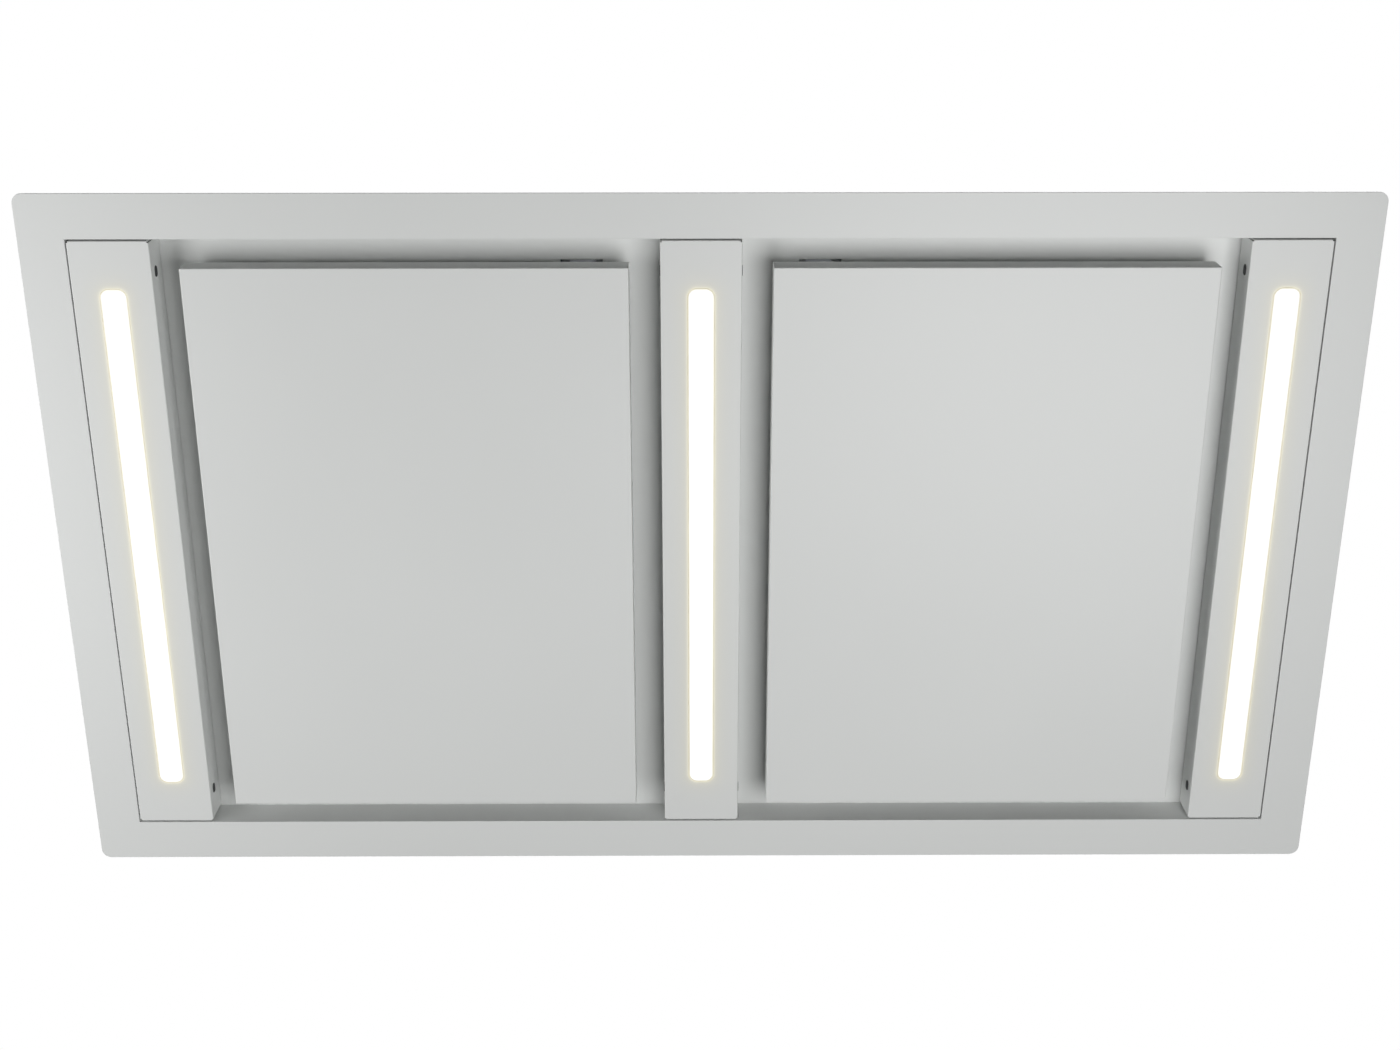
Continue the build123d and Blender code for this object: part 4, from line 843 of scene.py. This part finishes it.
class HOOD_OT_fasteners(bpy.types.Operator):
    """Rivets with domed heads and hexagon screws with threads"""

    bl_idname = "hood.fasteners"
    bl_label = "Fasteners"

    def execute(self, context):
        metal = context.scene.hood_metal
        rivet = drawn_material("rivet_aluminium", metal.aluminium, (1, 1, 1), (0.25, 0.4))
        screw = drawn_material("screw_zinc", metal.plated, (1, 1, 1), (0.22, 0.36))
        for node, name, material, add_one in (
            ("rivets", "domed_rivets", rivet, self.add_rivet),
            ("housing_screws", "hexagon_screws", screw, self.add_screw),
            ("motor_screws", "motor_hexagon_screws", screw, self.add_screw),
        ):
            build = bmesh.new()
            for points in islands(node):
                add_one(build, *fastener_frame(points))
            finish_piece(name, build, material, node)
        return {"FINISHED"}

    @staticmethod
    def add_rivet(build, matrix, length):
        """Blind rivet: rounded tail, shank and domed head with a dimple for the mandrel."""
        radius, shank, head = 3.5 * MM, 2.0 * MM, 1.2 * MM
        tail = [(0.0, 0.0), (0.1 * MM, radius * 0.6), (head * 0.5, radius * 0.97)]
        tail += [(head, radius * 0.9), (head, shank), (length - head, shank)]
        dome = ((1, 1), (0.75, 1), (0.35, 0.88), (0.08, 0.55), (0, 0.36))
        dimple = ((0.1, 0.32), (0.55, 0.28), (0.6, 0))
        cap = [(length - head * below, radius * share) for below, share in dome + dimple]
        add_lathe(build, tail + cap, matrix)

    @staticmethod
    def add_screw(build, matrix, length):
        """Threaded shank, washer face and chamfered hexagon head."""
        radius, shank, head, pitch = 4.0 * MM, 2.0 * MM, 2.4 * MM, 0.9 * MM
        seat = length - head
        washer = [(0.0, radius), (0.35 * MM, radius), (0.7 * MM, radius * 0.8), (0.7 * MM, 0.0)]
        profile = thread_profile(0.0, seat, shank, pitch)
        profile += [(seat + along, reach) for along, reach in washer]
        add_lathe(build, profile, matrix)
        add_prism(build, hexagon(radius * 0.78), seat + 0.5 * MM, length - 0.35 * MM, matrix)
        chamfer = ((0.6, 0), (0.6, 0.66), (0.1, 0.6), (0, 0.52), (0.15, 0.3), (0.15, 0))
        crown = [(length - below * MM, radius * share) for below, share in chamfer]
        add_lathe(build, crown, matrix)


# ---------------------------------------------------------------- blower and outlet
class HOOD_OT_blower(bpy.types.Operator):
    """Scroll, impeller and motor"""

    bl_idname = "hood.blower"
    bl_label = "Blower"

    def execute(self, context):
        aluminium = context.scene.hood_metal.aluminium
        rubber = context.scene.hood_plastic.rubber
        dress(
            zinc_material(),
            "scroll_wrap", "scroll_left_side", "scroll_right_side", "inlet_rings",
            "impeller_disc", "impeller_rings", "impeller_blades",
        )
        dress(moulded_material("motor_enamel", (0.02, 0.02, 0.022), (0.3, 0.42)), "motor_rotor")
        dress(drawn_material("cast_aluminium", aluminium, (2, 2, 2), (0.4, 0.55)), "motor_stator")
        dress(steel_material(), "motor_bearings")
        dress(plated_material(), "motor_bracket")
        dress(moulded_material("buffer_rubber", rubber, (0.7, 0.85)), "motor_mounts")
        return {"FINISHED"}


class HOOD_OT_outlet(bpy.types.Operator):
    """Duct collar with its non-return flaps"""

    bl_idname = "hood.outlet"
    bl_label = "Outlet"

    def execute(self, context):
        plastic = context.scene.hood_plastic
        aluminium = context.scene.hood_metal.aluminium
        sheet = drawn_material("flap_aluminium", aluminium, (150, 1.5, 1.5), (0.3, 0.42))
        moulding = moulded_material("collar_black", plastic.black, (0.38, 0.52))
        dress(moulding, "duct_collar")
        dress(sheet, "near_flap", "far_flap")
        dress(steel_material(), "flap_spindle")
        self.add_gussets(moulding)
        self.add_lip_seal(moulded_material("seal_rubber", plastic.rubber, (0.6, 0.75)))
        return {"FINISHED"}

    @staticmethod
    def spigot():
        """Radius and top of the collar's round spigot."""
        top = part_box("duct_collar")[1].z
        points = [v.co for v in NODES["duct_collar"].data.vertices]
        return max(math.hypot(p.x, p.y) for p in points if p.z > top - 0.1 * MM), top

    def add_gussets(self, material):
        """Small gussets between the collar's base and its spigot."""
        count, size, base, half = 16, 9 * MM, 2 * MM, 1 * MM
        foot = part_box("top_plate")[1].z + base
        inner = self.spigot()[0] - 0.5 * MM
        outer, slope = inner + size + 0.5 * MM, inner + 2 * MM
        outline = [(inner, foot - 0.2 * MM), (outer, foot - 0.2 * MM), (outer, foot + 1 * MM)]
        outline += [(slope, foot + size), (inner, foot + size)]
        build = bmesh.new()
        for index in range(count):
            turn = Matrix.Rotation(2 * math.pi * (index + 0.5) / count, 4, "Z")
            add_prism(build, outline, -half, half, turn)
        finish_piece("collar_gussets", build, material, "duct_collar", replaces=False)

    def add_lip_seal(self, material):
        """Rubber lip seal round the spigot, which grips the duct."""
        radius, top = self.spigot()
        low = top - 16 * MM
        lips = mm((0, -0.3), (0, 0.5), (1, 0.6), (1.6, 2.2), (2, 2.3), (2.6, 0.7), (4.4, 0.6))
        lips += mm((5, 2), (5.4, 2.1), (6, 0.7), (7, 0.5), (7, -0.3), (0, -0.3))
        profile = [(low + along, radius + rise) for along, rise in lips]
        build = bmesh.new()
        add_lathe(build, profile, Matrix.Rotation(-math.pi / 2, 4, "Y"), sides=96)
        finish_piece("lip_seal", build, material, "duct_collar", replaces=False)


# ---------------------------------------------------------------- electrics
class HOOD_OT_electrics(bpy.types.Operator):
    """Control box, circuit board, terminals, gland, light driver and leads"""

    bl_idname = "hood.electrics"
    bl_label = "Electrics"

    def execute(self, context):
        plastic = context.scene.hood_plastic
        zinc = zinc_material()
        case = moulded_material("driver_grey", plastic.grey, (0.42, 0.55))
        leads = moulded_material("lead_white", (0.72, 0.72, 0.7), (0.4, 0.5), 0.5)
        dress(zinc, "control_box", "control_box_end", "control_lid")
        dress(moulded_material("board_green", plastic.board, (0.3, 0.45), 2.0), "control_board")
        dress(moulded_material("terminal_grey", plastic.grey, (0.4, 0.5)), "terminal_block")
        dress(case, "light_driver")
        dress(leads, "light_leads")
        self.add_driver_ribs(case)
        self.add_lid_louvres(zinc)
        self.add_gland(moulded_material("gland_black", plastic.black, (0.35, 0.5)))
        return {"FINISHED"}

    @staticmethod
    def add_driver_ribs(case):
        """Cooling ribs on top of the light driver's case."""
        low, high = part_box("light_driver")
        margin, count = 22 * MM, 9
        rib = mm((-0.8, -0.1), (-0.5, 0.8), (0.5, 0.8), (0.8, -0.1))
        build = bmesh.new()
        for index in range(count):
            y = low.y + (high.y - low.y) * (index + 1) / (count + 1)
            place = Matrix.Translation((0, y, high.z))
            add_prism(build, rib, low.x + margin, high.x - margin, place)
        finish_piece("driver_ribs", build, case, "light_driver", replaces=False)

    @staticmethod
    def add_lid_louvres(zinc):
        """Two rows of pressed louvres in the control box's lid."""
        low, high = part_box("control_lid")
        middle_x, middle_y = (low.x + high.x) / 2, (low.y + high.y) / 2
        from_middle, pitch, count = 48 * MM, 12 * MM, 6
        length, width, height = 62 * MM, 7 * MM, 2.2 * MM
        build = bmesh.new()
        for side in (-1, 1):
            for index in range(count):
                y = middle_y + (index - (count - 1) / 2) * pitch
                centre = (middle_x + side * from_middle, y, high.z)
                add_bead(build, centre, length, width, height)
        finish_piece("lid_louvres", build, zinc, "control_lid", replaces=False)

    @staticmethod
    def add_gland(material):
        """Cable gland: lock nut, thread, hexagon, ribbed dome nut and an open mouth."""
        low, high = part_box("cable_gland")
        start, end = low.x, high.x
        place = Matrix.Translation((0, (low.y + high.y) / 2, (low.z + high.z) / 2))
        bore, crest, dome_radius = 4.0 * MM, 8.0 * MM, 9.6 * MM
        wall_in, wall_out, neck = start + 5 * MM, start + 6 * MM, start + 11 * MM
        build = bmesh.new()

        turns = 5
        thread = [(start, bore), (start, crest - 0.4 * MM)]
        for index in range(turns):
            along = start + (wall_out - start) * index / turns
            thread += [(along + 0.3 * MM, crest - 0.5 * MM), (along + 0.8 * MM, crest)]
        thread += [(wall_out, crest), (wall_out, bore), (start, bore)]
        add_lathe(build, thread, place, sides=36)

        nut, clear = hexagon((high.y - low.y) / 2), 0.2 * MM
        for first, last in ((start, wall_in), (wall_out, neck)):
            add_prism(build, nut, first + clear, last - clear, place)

        round_steps, round_reach, round_rise, mouth = 6, 4.0 * MM, 3.4 * MM, 6.2 * MM
        dome = [(neck, bore), (neck, dome_radius)]
        for step in range(round_steps + 1):
            turn = math.radians(90 * step / round_steps)
            along = end - (1 - math.sin(turn)) * round_reach
            dome.append((along, mouth + round_rise * math.cos(turn)))
        dome += [(end - 0.3 * MM, 5.2 * MM), (end - 2.0 * MM, bore), (neck, bore)]
        add_lathe(build, dome, place, sides=36)

        rib, count = mm((9.3, -0.55), (9.75, -0.3), (9.75, 0.3), (9.3, 0.55)), 16
        for index in range(count):
            turn = Matrix.Rotation(2 * math.pi * index / count, 4, "X")
            add_prism(build, rib, neck + 0.4 * MM, end - 4.2 * MM, place @ turn)
        finish_piece("ribbed_gland", build, material, "cable_gland")


# ---------------------------------------------------------------- stage
def white_backdrop(tree, plain, lit):
    """What the camera, glass and gloss see is the plain shader, and the lit one does the rest."""
    path = tree.add("LightPath").outputs
    seen = tree.calc("MAXIMUM", path["Is Camera Ray"], path["Is Transmission Ray"])
    seen = tree.calc("MAXIMUM", seen, path["Is Glossy Ray"])
    return tree.add("MixShader", {0: seen, 1: lit, 2: plain}).outputs[0]


def soft_lamp(name, power, size, place, target):
    """A rectangular lamp that points at a target and doesn't show."""
    lamp = bpy.data.lights.new(name, "AREA")
    lamp.energy = power
    lamp.shape = "RECTANGLE"
    lamp.size, lamp.size_y = size
    holder = bpy.data.objects.new(name, lamp)
    holder.location = place
    aim = Vector(target) - Vector(place)
    holder.rotation_euler = aim.to_track_quat("-Z", "Y").to_euler()
    holder.visible_camera = False
    bpy.context.scene.collection.objects.link(holder)


class HOOD_OT_studio(bpy.types.Operator):
    """Pale floor, white surroundings, soft lamps and the camera below the hood"""

    bl_idname = "hood.studio"
    bl_label = "Studio"

    def execute(self, context):
        scene = context.scene
        settings = scene.hood_studio
        scene.view_settings.view_transform = "Standard"
        self.build_world(scene, settings)
        self.build_floor(scene, settings)
        hood, housing = (0, 0, 0), (0, 0, 0.15)
        soft_lamp("key_lamp", settings.key, (1.0, 1.0), (0.562, 0, -1.391), hood)
        soft_lamp("fill_lamp", settings.fill, (1.0, 1.0), (-1.299, 0, -0.75), hood)
        soft_lamp("top_lamp", settings.top, (1.6, 1.2), (1.3, -1.5, 2.0), housing)
        self.build_camera(scene)
        return {"FINISHED"}

    @staticmethod
    def build_world(scene, settings):
        """White surroundings, whose light fades in above the ceiling line."""
        world = bpy.data.worlds.new("studio_room")
        scene.world = world
        world.use_nodes = True
        tree = ShaderTree(world.node_tree)
        tree.nodes.clear()
        white = {"Color": (1.0, 1.0, 1.0, 1.0)}
        way = tree.split(tree.add("TexCoord").outputs["Generated"])
        rise = tree.spread(way["Z"], 0.0, settings.ambient, end=0.25)
        seen = tree.add("Background", white).outputs[0]
        room = tree.add("Background", {**white, "Strength": rise}).outputs[0]
        tree.add("OutputWorld", {"Surface": white_backdrop(tree, seen, room)})

    @staticmethod
    def build_floor(scene, settings):
        """A wide pale floor that takes the hood's shadow and throws little light back."""
        half, roughness, glow, dark = 9.0, 0.9, 0.5, (0.05, 0.05, 0.05, 1.0)
        build = bmesh.new()
        corners = [(-half, -half), (half, -half), (half, half), (-half, half)]
        build.faces.new([build.verts.new((x, y, settings.floor_level)) for x, y in corners])
        mesh = bpy.data.meshes.new("studio_floor")
        build.to_mesh(mesh)
        build.free()
        floor = bpy.data.objects.new("studio_floor", mesh)
        scene.collection.objects.link(floor)
        material = bpy.data.materials.new("floor_pale")
        material.use_nodes = True
        tree = ShaderTree(material.node_tree)
        surface = tree.nodes["Principled BSDF"]
        surface.inputs["Base Color"].default_value = (*settings.floor_tone, 1.0)
        surface.inputs["Roughness"].default_value = roughness
        light = tree.add("Emission", {"Strength": glow}).outputs[0]
        seen = tree.add("AddShader", {0: surface.outputs[0], 1: light}).outputs[0]
        dim = tree.add("BsdfDiffuse", {"Color": dark}).outputs[0]
        end = tree.nodes["Material Output"].inputs["Surface"]
        tree.feed(end, white_backdrop(tree, seen, dim))
        mesh.materials.append(material)

    @staticmethod
    def build_camera(scene):
        camera = bpy.data.cameras.new("viewer")
        camera.lens = CAMERA_LENS
        camera.sensor_width = 36.0
        camera.clip_start, camera.clip_end = 0.05, 60.0
        holder = bpy.data.objects.new("viewer", camera)
        right, up = Vector(CAMERA_RIGHT), Vector(CAMERA_UP)
        turn = Matrix((right, up, right.cross(up))).transposed().to_4x4()
        holder.matrix_world = Matrix.Translation(CAMERA_PLACE) @ turn
        scene.collection.objects.link(holder)
        scene.camera = holder


# ---------------------------------------------------------------- sidebar and registration
class HOOD_PT_sidebar(bpy.types.Panel):
    """Lists the hood's pieces and settings in the 3D view's sidebar"""

    bl_idname = "HOOD_PT_sidebar"
    bl_label = "Range hood"
    bl_space_type = "VIEW_3D"
    bl_region_type = "UI"
    bl_category = "Hood"

    def draw(self, context):
        for operator in OPERATORS:
            self.layout.operator(operator.bl_idname)
        for name, group in SETTINGS.items():
            box = self.layout.box()
            for field in group.__annotations__:
                box.prop(getattr(context.scene, name), field)


OPERATORS = (
    HOOD_OT_coated_sheet,
    HOOD_OT_light_bars,
    HOOD_OT_panel_works,
    HOOD_OT_grease_filters,
    HOOD_OT_housing,
    HOOD_OT_fasteners,
    HOOD_OT_blower,
    HOOD_OT_outlet,
    HOOD_OT_electrics,
    HOOD_OT_studio,
)
CLASSES = (*SETTINGS.values(), *OPERATORS, HOOD_PT_sidebar)


def register():
    for item in CLASSES:
        bpy.utils.register_class(item)
    for name, group in SETTINGS.items():
        setattr(bpy.types.Scene, name, PointerProperty(type=group))


def unregister():
    for name in SETTINGS:
        delattr(bpy.types.Scene, name)
    for item in reversed(CLASSES):
        bpy.utils.unregister_class(item)


def main():
    register()
    for operator in OPERATORS:
        group, name = operator.bl_idname.split(".")
        getattr(getattr(bpy.ops, group), name)()


if __name__ == "__main__":
    main()
